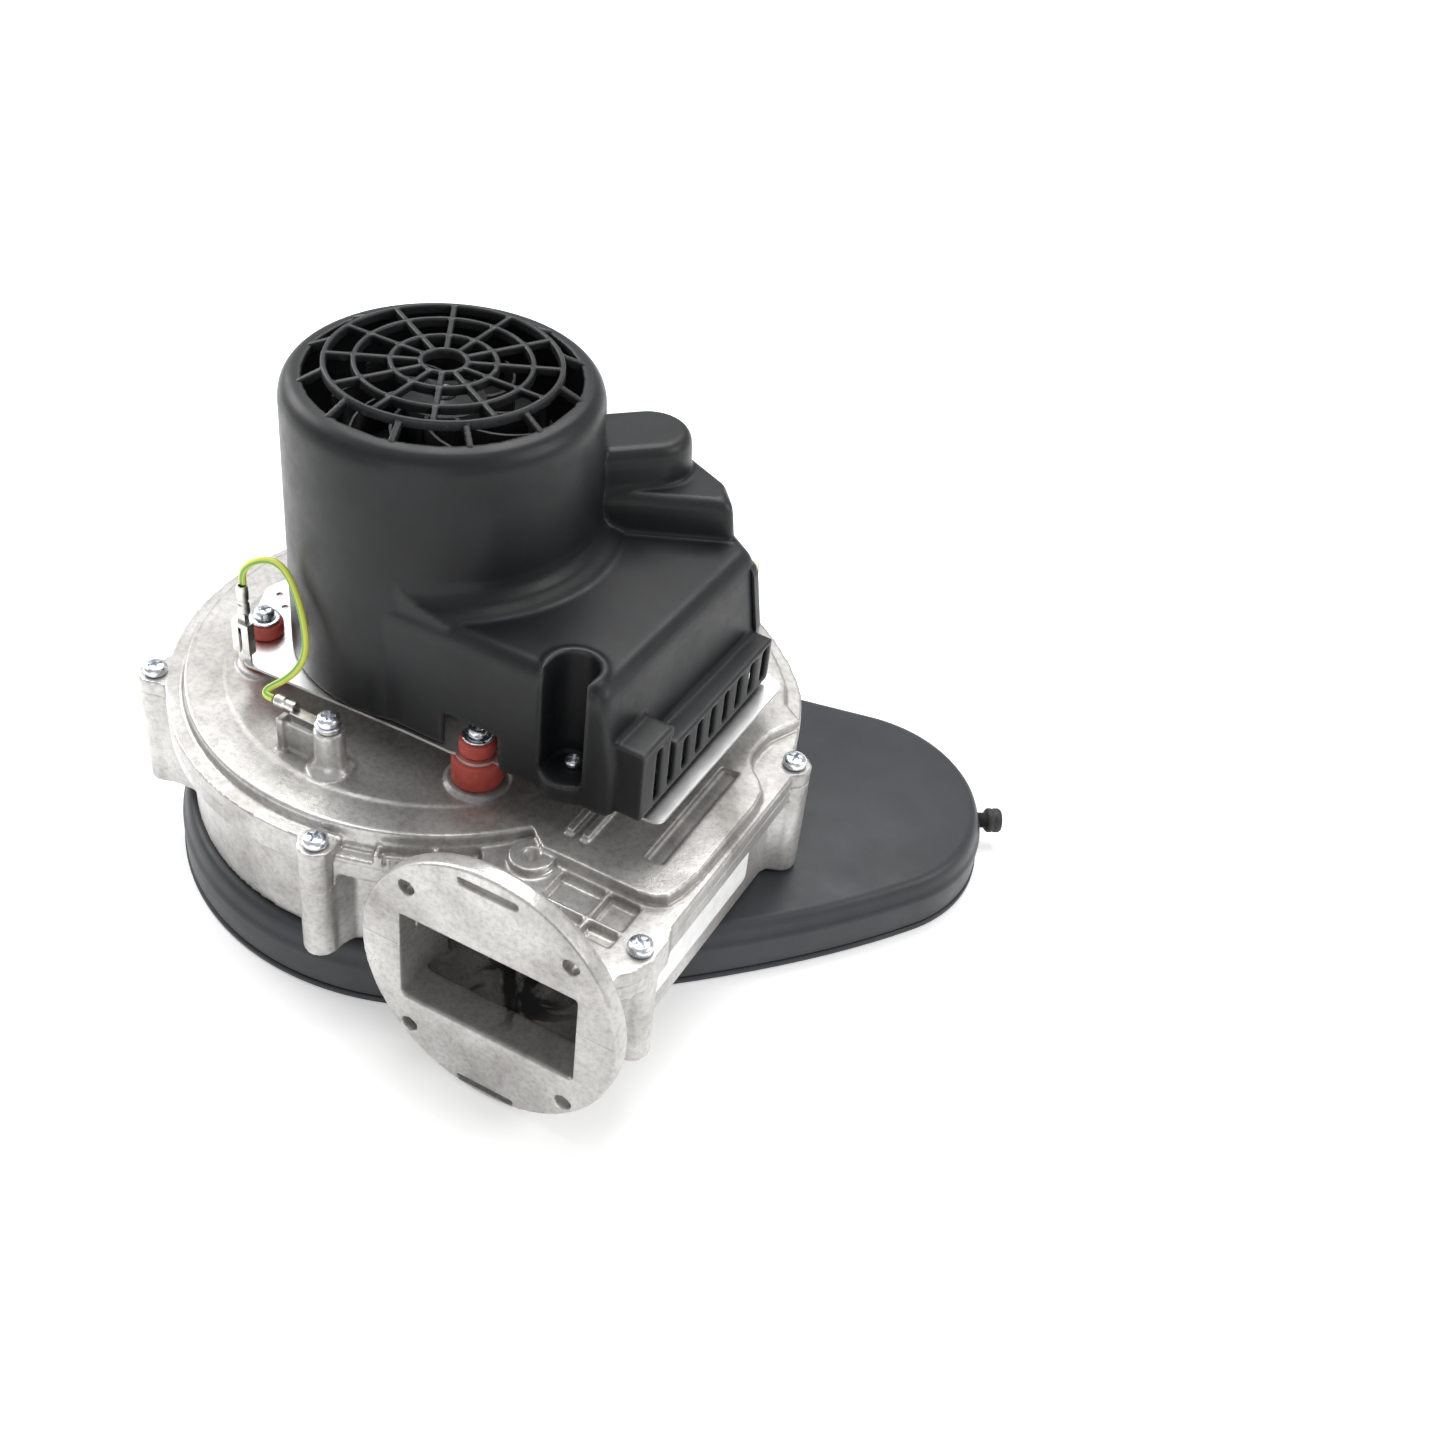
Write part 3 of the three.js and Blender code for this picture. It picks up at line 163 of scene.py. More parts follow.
MM = 0.001
WIRE_R = 1.4
WIRE_ROUTE = [
    (-51.4, -56, 134.5), (-51.2, -56.6, 139), (-48.6, -57, 143.8), (-44.6, -56.4, 147.4),
    (-40.4, -54.4, 149), (-36, -53.6, 148.6), (-31.6, -54.2, 146.8), (-27, -56.2, 143.2),
    (-22.6, -58.6, 138.2), (-19.2, -61, 132.4), (-17.4, -62.6, 126.6), (-17, -64.2, 121.6),
    (-17.8, -66.2, 117.4), (-19.8, -68.8, 113.8), (-22.6, -71.2, 111), (-25.2, -73.2, 109.2),
    (-26.8, -75.2, 107.8), (-26.4, -76.8, 107), (-24.6, -77.2, 106.8), (-22.4, -77, 106.8),
]


def shown(name, mesh, body="housing", replaces=(), material=None):
    """Puts a finished mesh in the scene as a piece that rides on a body."""
    piece = bpy.data.objects.new(name, mesh)
    bpy.context.scene.collection.objects.link(piece)
    if material:
        mesh.materials.clear()
        mesh.materials.append(material)
    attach(piece, body)
    if replaces:
        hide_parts(*replaces)
    return piece


insulation, shader, node, wire_up = node_maker("wire_insulation")
round_the_wire = node("ShaderNodeUVMap")
split = node("ShaderNodeSeparateXYZ")
yellow = (0.68, 0.72, 0.12)
green = (0.16, 0.42, 0.10)
stripe = colour_steps(node, [
    (0.0, yellow), (0.08, yellow), (0.10, green), (0.20, green), (0.22, yellow),
    (0.58, yellow), (0.60, green), (0.70, green), (0.72, yellow), (1.0, yellow),
])
place = node("ShaderNodeTexCoord")
haze = node("ShaderNodeTexNoise", in_scale=900.0, in_detail=2.0)
dull = node("ShaderNodeMapRange")
dull.inputs["To Min"].default_value = 0.34
dull.inputs["To Max"].default_value = 0.5
wire_up(round_the_wire.outputs["UV"], split.inputs["Vector"])
wire_up(split.outputs["Y"], stripe.inputs["Fac"])
wire_up(stripe.outputs["Color"], shader.inputs["Base Color"])
wire_up(place.outputs["Object"], haze.inputs["Vector"])
wire_up(haze.outputs["Fac"], dull.inputs["Value"])
wire_up(dull.outputs["Result"], shader.inputs["Roughness"])

wire_line = bpy.data.curves.new("earth_wire_insulation", "CURVE")
wire_line.dimensions = "3D"
run = wire_line.splines.new("NURBS")
run.points.add(len(WIRE_ROUTE) - 1)
for point, (x, y, z) in zip(run.points, WIRE_ROUTE):
    point.co = (x * MM, y * MM, z * MM, 1)
run.order_u = 4
run.use_endpoint_u = True
run.resolution_u = 8
wire_line.bevel_depth = WIRE_R * MM
wire_line.bevel_resolution = 5
wire_line.use_fill_caps = True
wire_line.materials.append(insulation)
wire = bpy.data.objects.new("earth_wire_insulation", wire_line)
bpy.context.scene.collection.objects.link(wire)
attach(wire, "housing")
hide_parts("earth_wire")

# ---- inlet plenum --------------------------------------------------------
# A teardrop box of glass filled nylon that feeds air to the scroll from below.
# The lid has a soft shoulder, and clips over a base with a thin lip all round.

PLENUM_BIG_R = 109.2
PLENUM_SMALL_R = 61
PLENUM_SMALL = (150, 84)
BACK_TANGENT = math.radians(102.6)
FRONT_LEAVE = math.radians(-52)
FRONT_ARRIVE = math.radians(-33)
LID_HOLE_R = 46
INTAKE_R = 30


def arc(cx, cy, radius, start, end, steps):
    """Points of an arc, between two angles in radians."""
    turns = [start + (end - start) * i / steps for i in range(steps + 1)]
    return [(cx + radius * math.cos(a), cy + radius * math.sin(a)) for a in turns]


def plenum_outline(inset):
    """Two arcs, with a bowed front side and a straight back side between them."""
    big = PLENUM_BIG_R - inset
    small = PLENUM_SMALL_R - inset
    start = Vector((big * math.cos(FRONT_LEAVE), big * math.sin(FRONT_LEAVE)))
    end = Vector((small * math.cos(FRONT_ARRIVE), small * math.sin(FRONT_ARRIVE)))
    end += Vector(PLENUM_SMALL)
    leaving = Vector((-math.sin(FRONT_LEAVE), math.cos(FRONT_LEAVE)))
    arriving = Vector((-math.sin(FRONT_ARRIVE), math.cos(FRONT_ARRIVE)))
    reach = (end - start).cross(arriving) / leaving.cross(arriving)
    bow = start + leaving * reach
    side = []
    for i in range(1, 16):
        t = i / 16
        side.append(tuple(start * (1 - t) ** 2 + bow * 2 * t * (1 - t) + end * t * t))
    around_big = arc(0, 0, big, BACK_TANGENT, FRONT_LEAVE + 2 * math.pi, 80)
    around_small = arc(*PLENUM_SMALL, small, FRONT_ARRIVE, BACK_TANGENT, 48)
    return around_big + side + around_small


def loop_of(form, points, z):
    """The edges of a closed line through points, at one height."""
    corners = [form.verts.new((x, y, z)) for x, y in points]
    return [form.edges.new(pair) for pair in zip(corners, corners[1:] + corners[:1])]


def stacked(outline, levels):
    """A closed body made of one outline at several heights, each with its own inset."""
    form = bmesh.new()
    rings = [loop_of(form, outline(inset), z) for inset, z in levels]
    for lower, upper in zip(rings, rings[1:]):
        bmesh.ops.bridge_loops(form, edges=lower + upper)
    bmesh.ops.contextual_create(form, geom=rings[0])
    bmesh.ops.contextual_create(form, geom=rings[-1])
    bmesh.ops.recalc_face_normals(form, faces=form.faces)
    return form


def slab(points, low, high):
    """A flat body with an outline of points, between two heights."""
    return stacked(lambda inset: points, [(0, low), (0, high)])


def turned(profile, centre=(0, 0), steps=96):
    """A body of revolution about an upright axis. A profile off the axis is closed."""
    form = bmesh.new()
    points = [form.verts.new((r, 0, z)) for r, z in profile]
    pairs = list(zip(points, points[1:]))
    if profile[0][0] > 0 and profile[-1][0] > 0:
        pairs.append((points[-1], points[0]))
    edges = [form.edges.new(pair) for pair in pairs]
    bmesh.ops.spin(form, geom=points + edges, cent=(0, 0, 0), axis=(0, 0, 1),
                   angle=math.tau, steps=steps, use_merge=True)
    bmesh.ops.remove_doubles(form, verts=form.verts, dist=0.001)
    bmesh.ops.recalc_face_normals(form, faces=form.faces)
    bmesh.ops.translate(form, verts=form.verts, vec=(*centre, 0))
    return form


def disc(x, y, radius, low, high, steps=32):
    """An upright cylinder between two heights."""
    return turned([(0, low), (radius, low), (radius, high), (0, high)], (x, y), steps)


def block(x0, x1, y0, y1, z0, z1):
    """A box between two limits on each axis."""
    form = bmesh.new()
    bmesh.ops.create_cube(form, size=1)
    bmesh.ops.scale(form, verts=form.verts, vec=(x1 - x0, y1 - y0, z1 - z0))
    bmesh.ops.translate(form, verts=form.verts,
                        vec=((x0 + x1) / 2, (y0 + y1) / 2, (z0 + z1) / 2))
    return form


def placed(form, matrix):
    bmesh.ops.transform(form, matrix=matrix, verts=form.verts)
    return form


def mesh_of(form):
    """The mesh of a form, which is used up. A mesh comes back as it is."""
    if isinstance(form, bpy.types.Mesh):
        return form
    mesh = bpy.data.meshes.new("workpiece")
    form.to_mesh(mesh)
    form.free()
    return mesh


def worked(body, tool, operation):
    """The body after one join or cut with a tool. Both meshes are used up."""
    blank = bpy.data.objects.new("blank", body)
    cutter = bpy.data.objects.new("cutter", tool)
    for item in (blank, cutter):
        bpy.context.scene.collection.objects.link(item)
    step = blank.modifiers.new("work", "BOOLEAN")
    step.operation = operation
    step.solver = "MANIFOLD"
    step.object = cutter
    seen = blank.evaluated_get(bpy.context.evaluated_depsgraph_get())
    result = bpy.data.meshes.new_from_object(seen)
    for item in (blank, cutter):
        bpy.data.objects.remove(item)
    for used in (body, tool):
        bpy.data.meshes.remove(used)
    return result


def joined(first, *rest):
    body = mesh_of(first)
    for form in rest:
        body = worked(body, mesh_of(form), "UNION")
    return body


def overlap(body, tool):
    return worked(mesh_of(body), mesh_of(tool), "INTERSECT")


def cut(body, *tools):
    body = mesh_of(body)
    for form in tools:
        body = worked(body, mesh_of(form), "DIFFERENCE")
    return body


def cast(mesh, grain, rounds, keep=1.0):
    """Rounds every edge and fillets every inner corner, as a mould does."""
    blank = bpy.data.objects.new("blank", mesh)
    bpy.context.scene.collection.objects.link(blank)
    skin = blank.modifiers.new("skin", "REMESH")
    skin.mode = "VOXEL"
    skin.voxel_size = grain
    soften = blank.modifiers.new("soften", "SMOOTH")
    soften.factor = 0.5
    soften.iterations = rounds
    if keep < 1:
        thin = blank.modifiers.new("thin", "DECIMATE")
        thin.ratio = keep
    seen = blank.evaluated_get(bpy.context.evaluated_depsgraph_get())
    result = bpy.data.meshes.new_from_object(seen)
    bpy.data.objects.remove(blank)
    bpy.data.meshes.remove(mesh)
    return result


def to_metres(mesh, smooth=True):
    """Scales a finished mesh from millimetres, and shades it smooth or flat."""
    mesh.transform(Matrix.Scale(MM, 4))
    mesh.polygons.foreach_set("use_smooth", [smooth] * len(mesh.polygons))
    mesh.update()
    return mesh


def eased(piece, width, segments=2, angle=35):
    """Breaks the sharp edges of a piece by a small radius, in millimetres."""
    ease = piece.modifiers.new("eased_edges", "BEVEL")
    ease.width = width * MM
    ease.segments = segments
    ease.limit_method = "ANGLE"
    ease.angle_limit = math.radians(angle)
    ease.harden_normals = True
    return piece


def moulded_plastic(name, dark, light, rough):
    """Fine grained nylon with faint cloudy handling marks and paler worn edges."""
    material, shader, node, wire_up = node_maker(name)
    place = node("ShaderNodeTexCoord")
    cloud = node("ShaderNodeTexNoise", in_scale=22.0, in_detail=5.0, in_roughness=0.6)
    tone = colour_steps(node, [(0.35, dark), (0.7, light)])
    edge = node("ShaderNodeNewGeometry")
    worn = colour_steps(node, [(0.5, (0, 0, 0)), (0.62, (0.5, 0.5, 0.5))])
    blend = node("ShaderNodeMix", data_type="RGBA", blend_type="SCREEN")
    blend.inputs["Factor"].default_value = 0.12
    grain = node("ShaderNodeTexNoise", in_scale=2600.0, in_detail=2.0)
    rub = node("ShaderNodeTexNoise", in_scale=60.0, in_detail=6.0, in_roughness=0.7)
    sheen = node("ShaderNodeMapRange")
    sheen.inputs["From Min"].default_value = 0.3
    sheen.inputs["From Max"].default_value = 0.7
    sheen.inputs["To Min"].default_value = rough - 0.07
    sheen.inputs["To Max"].default_value = rough + 0.08
    bump = node("ShaderNodeBump", in_strength=0.18, in_distance=0.00012)
    for texture in (cloud, grain, rub):
        wire_up(place.outputs["Object"], texture.inputs["Vector"])
    wire_up(cloud.outputs["Fac"], tone.inputs["Fac"])
    wire_up(edge.outputs["Pointiness"], worn.inputs["Fac"])
    wire_up(tone.outputs["Color"], blend.inputs["A"])
    wire_up(worn.outputs["Color"], blend.inputs["B"])
    wire_up(blend.outputs["Result"], shader.inputs["Base Color"])
    wire_up(rub.outputs["Fac"], sheen.inputs["Value"])
    wire_up(sheen.outputs["Result"], shader.inputs["Roughness"])
    wire_up(grain.outputs["Fac"], bump.inputs["Height"])
    wire_up(bump.outputs["Normal"], shader.inputs["Normal"])
    shader.inputs["Specular IOR Level"].default_value = 0.28
    return material


plenum_nylon = moulded_plastic("plenum_nylon", (0.022, 0.0235, 0.027), (0.034, 0.036, 0.042),
                               0.42)

lid = stacked(plenum_outline, [
    (0.9, 3.0), (0.6, 4.0), (0.6, 16.0), (0.8, 17.0), (1.6, 18.2), (2.0, 19.6), (2.4, 21.6),
    (3.2, 23.6), (4.4, 25.1), (5.8, 25.8), (7.4, 26.0),
])
chamber = stacked(plenum_outline, [(3.4, 2.0), (3.4, 15.0), (7.8, 23.4)])
lid = cut(lid, chamber, disc(0, 0, LID_HOLE_R, 15, 40, 96))
eased(shown("plenum_lid", to_metres(lid), replaces=["plenum_shell"],
            material=plenum_nylon), 0.4)

base = stacked(plenum_outline, [(0.6, 0.0), (0.0, 0.6), (0.0, 2.1), (0.6, 2.7)])
base = cut(base, disc(*PLENUM_SMALL, INTAKE_R, -1, 5, 96))
eased(shown("plenum_floor", to_metres(base), replaces=["plenum_base"],
            material=plenum_nylon), 0.2)

# ---- locating buffer -----------------------------------------------------
# A black rubber knob with a grooved neck, pushed on a peg of the plenum. It
# drops in a keyhole of the boiler casing and keeps the fan from rattling.

rubber = mottled(
    "moulded_rubber", [(0.3, (0.012, 0.012, 0.013)), (0.75, (0.03, 0.03, 0.031))],
    240.0, 4.0, 0.62, relief=(0.2, 0.0002))

KNOB_HEIGHT = 11.5
KNOB_REACH = 60.8
knob_turn = math.radians(33)
knob_foot = Vector((*PLENUM_SMALL, KNOB_HEIGHT)) + KNOB_REACH * Vector(
    (math.cos(knob_turn), math.sin(knob_turn), 0))
knob = turned([
    (0, 0), (3.4, 0), (3.4, 3.6), (4.6, 4.0), (5.4, 4.9), (5.4, 6.6), (4.9, 7.2), (5.4, 7.8),
    (5.4, 9.8), (4.7, 10.7), (3.6, 11), (0, 11),
], steps=40)
placed(knob, Matrix.Translation(knob_foot) @ Matrix.Rotation(knob_turn, 4, "Z")
       @ Matrix.Rotation(math.pi / 2, 4, "Y"))
shown("buffer_knob", to_metres(mesh_of(knob)), replaces=["locating_buffer"],
      material=rubber)

# ---- scroll casting ------------------------------------------------------
# The volute is die cast in aluminium as two parts that meet in the rim, with a
# step down across the outlet flange. The metal is tumbled, so its edges are bright and its flats
# are mottled, its recesses are darkened with painted shade, and the duct is stained where the gas
# passes.

WALL_LOW = 27
RIM_LOW = 66.5
RIM_TOP = 80
DECK_TOP = 85
PASSAGE_LOW = 30
PASSAGE_HIGH = 74.5
RIM_WIDTH = 7
RIGHT_X = 147
OUTLET = (99, 56)
OUTLET_FACE_Y = -117
FLANGE_HALF_WIDTH = 53.4
FLANGE_HALF_HEIGHT = 57
FLANGE_Z = 57.6
FLANGE_BACK = -109
FLANGE_HOLE_R = 3.3
FLANGE_HOLE_X = 33.2
FLANGE_HOLE_Z = 35.8
FACE_SLOT = (12.2, 1.6)
FACE_SLOT_Z = 51.6
DUCT_LEFT = 62.5
DUCT_RIGHT = 135.5
DUCT_LOW = 34.75
DUCT_HIGH = 77.25
HOUSING_SCREWS = [(-92, -66), (19.3, -107.6), (142.6, -87.3), (144, 30), (-16, 128), (-84, 78)]
ISOLATORS = [(50.8, -51.7), (-56, -41), (4, 72)]
EARTH_BOSS = (2.3, -76.4)
EARTH_BOSS_TOP = 104


def volute_radius(degrees):
    """The spiral's radius, which grows towards the outlet from 150 degrees down."""
    turn = degrees % 360
    sweep = min(max((150 - turn) / 120, 0), 1)
    return 109.1 + (36.3 * sweep ** 1.2 if turn < 151 else 0)


def at(radius, degrees):
    """The point at a radius and an angle about the shaft."""
    return (radius * math.cos(math.radians(degrees)), radius * math.sin(math.radians(degrees)))


def volute_outline(inset):
    points = [at(volute_radius(14 + i * 3) - inset, 14 + i * 3) for i in range(91)]
    return points + [(RIGHT_X - inset, -70), (RIGHT_X - inset, 20)]


def along_y(x, z, radius, y0, y1):
    """A cylinder that lies along Y."""
    form = disc(0, 0, radius, 0, y1 - y0)
    return placed(form, Matrix.Translation((x, y1, z)) @ Matrix.Rotation(math.pi / 2, 4, "X"))


# the oval outlet flange, with a rounded edge towards the duct
flange = placed(
    turned([(0, 0), (0.975, 0), (0.993, 0.6), (1, 1.6), (1, 7.2), (0.99, 8), (0, 8)], steps=160),
    Matrix.Translation((OUTLET[0], FLANGE_BACK, FLANGE_Z))
    @ Matrix.Diagonal((FLANGE_HALF_WIDTH, 1, FLANGE_HALF_HEIGHT, 1))
    @ Matrix.Rotation(math.pi / 2, 4, "X"),
)
casting = joined(
    stacked(volute_outline, [(RIM_WIDTH, WALL_LOW), (RIM_WIDTH, RIM_TOP)]),
    slab([(55, -90), (55, FLANGE_BACK), (137, FLANGE_BACK), (141, -98), (141, 22), (100, 22)],
         WALL_LOW, RIM_TOP),
    stacked(volute_outline, [(0, RIM_LOW), (0, RIM_TOP)]),
    slab([(52, -90), (52, FLANGE_BACK), (136, FLANGE_BACK), (146, -98), (149, -90),
          (149, -78), (RIGHT_X, -72), (RIGHT_X, 22), (100, 22)], RIM_LOW, RIM_TOP),
    flange,
    block(DUCT_LEFT - 7.5, DUCT_RIGHT + 7.5, FLANGE_BACK - 1, -92, PASSAGE_LOW, RIM_TOP),
)

# posts of the six housing screws, each tied to the wall by a web
for x, y in HOUSING_SCREWS:
    post = Vector((x, y))
    outward = post.normalized()
    across = Vector((-outward.y, outward.x))
    inner = post - outward * 12
    web = [tuple(corner) for corner in (post + across * 6.9, inner + across * 14,
                                        inner - across * 14, post - across * 6.9)]
    casting = joined(casting, disc(x, y, 7, 27.2, RIM_TOP), slab(web, RIM_LOW, RIM_TOP),
                     slab(web, 28, RIM_LOW + 1))

# raised deck, with its concentric step and the square corner over the duct
corner_deck = [at(volute_radius(a) - 7, a) for a in range(24, 151, 6)] + [
    (0, 0), (90, -68), (131, -68), (136, -67), (140, -64), (142, -58), (143.3, -48), (144, -5),
    (142.5, 4), (139, 9), (134.5, 12.5), (131.5, 16), (129.6, 21), (129.2, 29), (130, 36),
    (132.6, 42), (136, 50),
]
casting = joined(
    casting,
    turned([(0, 79), (102.4, 79), (102, 84.2), (101.2, DECK_TOP), (0, DECK_TOP)], steps=160),
    slab(corner_deck, 79, DECK_TOP),
    turned([(0, 80), (86.4, 80), (86.2, 85.2), (85.8, 85.45), (0, 85.45)], steps=160),
    disc(88, -72, 8.5, 77, 83.4),
)
for x, y in ISOLATORS:
    casting = joined(casting, turned([(0, 84), (12.4, 84), (12, 86.6), (11, 87.0), (0, 87.0)],
                                     (x, y), 48))
for x in (94.5, 101):
    casting = joined(casting, block(x - 1.5, x + 1.5, -57, -38, 84, 87.6))

# the flow passage inside, and the pockets cored out to save metal
duct_inside = [(DUCT_LEFT, -101), (DUCT_RIGHT, -101), (DUCT_RIGHT, 22), (100, 22),
               (DUCT_LEFT, -85)]
casting = cut(
    casting,
    stacked(volute_outline, [(10.5, PASSAGE_LOW), (10.5, PASSAGE_HIGH)]),
    slab(duct_inside, PASSAGE_LOW, PASSAGE_HIGH),
    disc(0, 0, 92, 74, 81.5, 96),
    block(DUCT_LEFT, DUCT_RIGHT, OUTLET_FACE_Y - 1, -99, DUCT_LOW, PASSAGE_HIGH),
    block(DUCT_LEFT, DUCT_RIGHT, OUTLET_FACE_Y - 1, FLANGE_BACK + 1, DUCT_LOW, DUCT_HIGH),
    disc(0, 0, 42, 20, 40, 96),
    disc(0, 0, 8, 70, 95, 48),
    block(123.5, 130.5, -52, 8, 82.4, 88),
    turned([(0, 79), (1.2, 79), (3.6, 84), (0, 84)], (88, -72), 32),
)
for x0, x1, y0, y1 in ((100.5, 118.5, -83.5, -69.8), (120.5, 133, -83.5, -69.8),
                       (120.5, 133, -92.5, -85.5), (100.5, 118.5, -94, -85.5),
                       (66, 76, -101, -84), (52.5, 62, -101, -92)):
    casting = cut(casting, block(x0, x1, y0, y1, 76.2, 84))
for start, end in ((-76, -68.5), (-67.6, -57.5), (-56.6, -48)):
    start, end = math.radians(start), math.radians(end)
    trench = arc(0, 0, 109.4, start, end, 8) + arc(0, 0, 103.0, end, start, 8)
    casting = cut(casting, slab(trench, 75.8, 84))
for side in (-1, 1):
    for level in (-1, 1):
        casting = cut(casting, along_y(
            OUTLET[0] + side * FLANGE_HOLE_X, OUTLET[1] + level * FLANGE_HOLE_Z, FLANGE_HOLE_R,
            OUTLET_FACE_Y - 1, FLANGE_BACK + 6))
half_width, half_height = FACE_SLOT
for z in (OUTLET[1] - FACE_SLOT_Z, OUTLET[1] + FACE_SLOT_Z):
    casting = cut(casting, block(OUTLET[0] - half_width, OUTLET[0] + half_width,
                                 OUTLET_FACE_Y - 1, OUTLET_FACE_Y + 4,
                                 z - half_height, z + half_height))
for x, y in HOUSING_SCREWS:
    casting = cut(casting, disc(x, y, 2.8, 54, 90, 20))

# the parting, as two tools that each leave one part
far = 400
neck = FLANGE_BACK + 2
under_parting = joined(
    block(-far, far, neck + 0.3, far, -far, 73.1),
    block(-far, far, -far, neck + 0.5, -far, 60.7),
)
over_parting = joined(
    block(-far, far, neck, far, 73.9, far),
    block(-far, far, -far, neck + 0.2, 61.3, far),
)
upper_half = cut(casting.copy(), under_parting)
lower_half = cut(casting, over_parting)

# the earth boss grows out of the deck, with a thin rib to a post beside it
boss_x, boss_y = EARTH_BOSS
upper_half = joined(
    upper_half,
    turned([(0, 84), (9, 84), (8.2, 86.6), (6.6, 88.2), (6.0, 90), (5.8, EARTH_BOSS_TOP),
            (0, EARTH_BOSS_TOP)], EARTH_BOSS, 48),
    block(-18, boss_x, -77.4, -75.5, 84, 98.5),
    block(-20.2, -17, -79.6, -74, 84, 100),
)
upper_half = cut(upper_half, disc(boss_x, boss_y, 2.3, 90, 110, 20))

# the lip of the eye, and the groove of the seal under it
lower_half = cut(
    joined(lower_half, turned([(42, 29), (44.6, 29), (44.6, 34), (42.6, 36), (42, 36)],
                              steps=96)),
    turned([(51.6, 26), (55.4, 26), (55.4, 28.6), (51.6, 28.6)], steps=96),
)


def cast_metal(name, soot_centre=None):
    """Tumbled die casting: cloudy patches, bright worn edges, and recesses darkened as painted
    shade. A centre for the soot stains the metal within SOOT_REACH of it."""
    material, shader, node, wire_up = node_maker(name)
    place = node("ShaderNodeTexCoord")
    cloud = node("ShaderNodeTexNoise", in_scale=17.0, in_detail=7.0, in_roughness=0.62)
    patches = colour_steps(node, [(0.32, (0.24, 0.232, 0.22)), (0.48, (0.45, 0.44, 0.425)),
                                  (0.66, (0.64, 0.632, 0.615))])
    fleck = node("ShaderNodeTexNoise", in_scale=420.0, in_detail=5.0, in_roughness=0.7)
    speck = colour_steps(node, [(0.34, (0.55, 0.54, 0.52)), (0.55, (1, 1, 1))])
    dirty = node("ShaderNodeMix", data_type="RGBA", blend_type="MULTIPLY")
    dirty.inputs["Factor"].default_value = 0.55
    edge = node("ShaderNodeNewGeometry")
    # pointiness lightens the convex edges as tumbling wear, and darkens the recesses as painted
    # shade
    rubbed_edges_and_painted_recess_shade = colour_steps(node, [
        (0.42, (0.30, 0.29, 0.27)), (0.49, (0.5, 0.5, 0.5)), (0.53, (0.5, 0.5, 0.5)),
        (0.60, (0.86, 0.86, 0.85)),
    ])
    wear_and_painted_shade = node("ShaderNodeMix", data_type="RGBA", blend_type="OVERLAY")
    wear_and_painted_shade.inputs["Factor"].default_value = 0.9
    rough_map = node("ShaderNodeMapRange")
    rough_map.inputs["From Min"].default_value = 0.3
    rough_map.inputs["From Max"].default_value = 0.7
    rough_map.inputs["To Min"].default_value = 0.46
    rough_map.inputs["To Max"].default_value = 0.26
    pits = node("ShaderNodeTexNoise", in_scale=950.0, in_detail=3.0, in_roughness=0.6)
    swell = node("ShaderNodeTexNoise", in_scale=70.0, in_detail=2.0)
    fine = node("ShaderNodeBump", in_strength=0.35, in_distance=0.00025)
    broad = node("ShaderNodeBump", in_strength=0.2, in_distance=0.0006)
    for texture in (cloud, fleck, pits, swell):
        wire_up(place.outputs["Object"], texture.inputs["Vector"])
    wire_up(cloud.outputs["Fac"], patches.inputs["Fac"])
    wire_up(fleck.outputs["Fac"], speck.inputs["Fac"])
    wire_up(patches.outputs["Color"], dirty.inputs["A"])
    wire_up(speck.outputs["Color"], dirty.inputs["B"])
    wire_up(edge.outputs["Pointiness"], rubbed_edges_and_painted_recess_shade.inputs["Fac"])
    wire_up(dirty.outputs["Result"], wear_and_painted_shade.inputs["A"])
    wire_up(rubbed_edges_and_painted_recess_shade.outputs["Color"], wear_and_painted_shade.inputs["B"])
    metal = wear_and_painted_shade.outputs["Result"]
    if soot_centre:
        away = node("ShaderNodeVectorMath", operation="DISTANCE")
        away.inputs[1].default_value = soot_centre
        near = node("ShaderNodeMapRange")
        near.inputs["From Min"].default_value = SOOT_REACH
        near.inputs["From Max"].default_value = SOOT_REACH * 0.5
        drift = node("ShaderNodeTexNoise", in_scale=48.0, in_detail=6.0, in_distortion=1.2)
        smudge = colour_steps(node, [(0.57, (0, 0, 0)), (0.63, (1, 1, 1))])
        amount = node("ShaderNodeMath", operation="MULTIPLY")
        sooty = node("ShaderNodeMix", data_type="RGBA")
        sooty.inputs["B"].default_value = (0.07, 0.07, 0.072, 1)
        wire_up(place.outputs["Object"], away.inputs[0])
        wire_up(away.outputs["Value"], near.inputs["Value"])
        wire_up(place.outputs["Object"], drift.inputs["Vector"])
        wire_up(drift.outputs["Fac"], smudge.inputs["Fac"])
        wire_up(near.outputs["Result"], amount.inputs[0])
        wire_up(smudge.outputs["Color"], amount.inputs[1])
        wire_up(amount.outputs["Value"], sooty.inputs["Factor"])
        wire_up(metal, sooty.inputs["A"])
        metal = sooty.outputs["Result"]
    wire_up(metal, shader.inputs["Base Color"])
    wire_up(cloud.outputs["Fac"], rough_map.inputs["Value"])
    wire_up(rough_map.outputs["Result"], shader.inputs["Roughness"])
    wire_up(swell.outputs["Fac"], broad.inputs["Height"])
    wire_up(broad.outputs["Normal"], fine.inputs["Normal"])
    wire_up(pits.outputs["Fac"], fine.inputs["Height"])
    wire_up(fine.outputs["Normal"], shader.inputs["Normal"])
    shader.inputs["Metallic"].default_value = 0.62
    return material


SOOT_REACH = 0.029
die_cast = cast_metal("die_cast_aluminium")
stained_cast = cast_metal("stained_die_cast", (0.096, -0.086, 0.036))

upper_half = cast(upper_half, 0.8, 2, 0.4)
shown("scroll_lid_casting", to_metres(upper_half), replaces=["upper_scroll"],
      material=die_cast)
lower_half = cast(lower_half, 0.9, 2, 0.3)
shown("scroll_body_casting", to_metres(lower_half), replaces=["lower_scroll"],
      material=stained_cast)

# ---- blank rating label --------------------------------------------------
# A white polyester label stuck on the flat flank of the casting, next to the
# duct. It carries no printing.

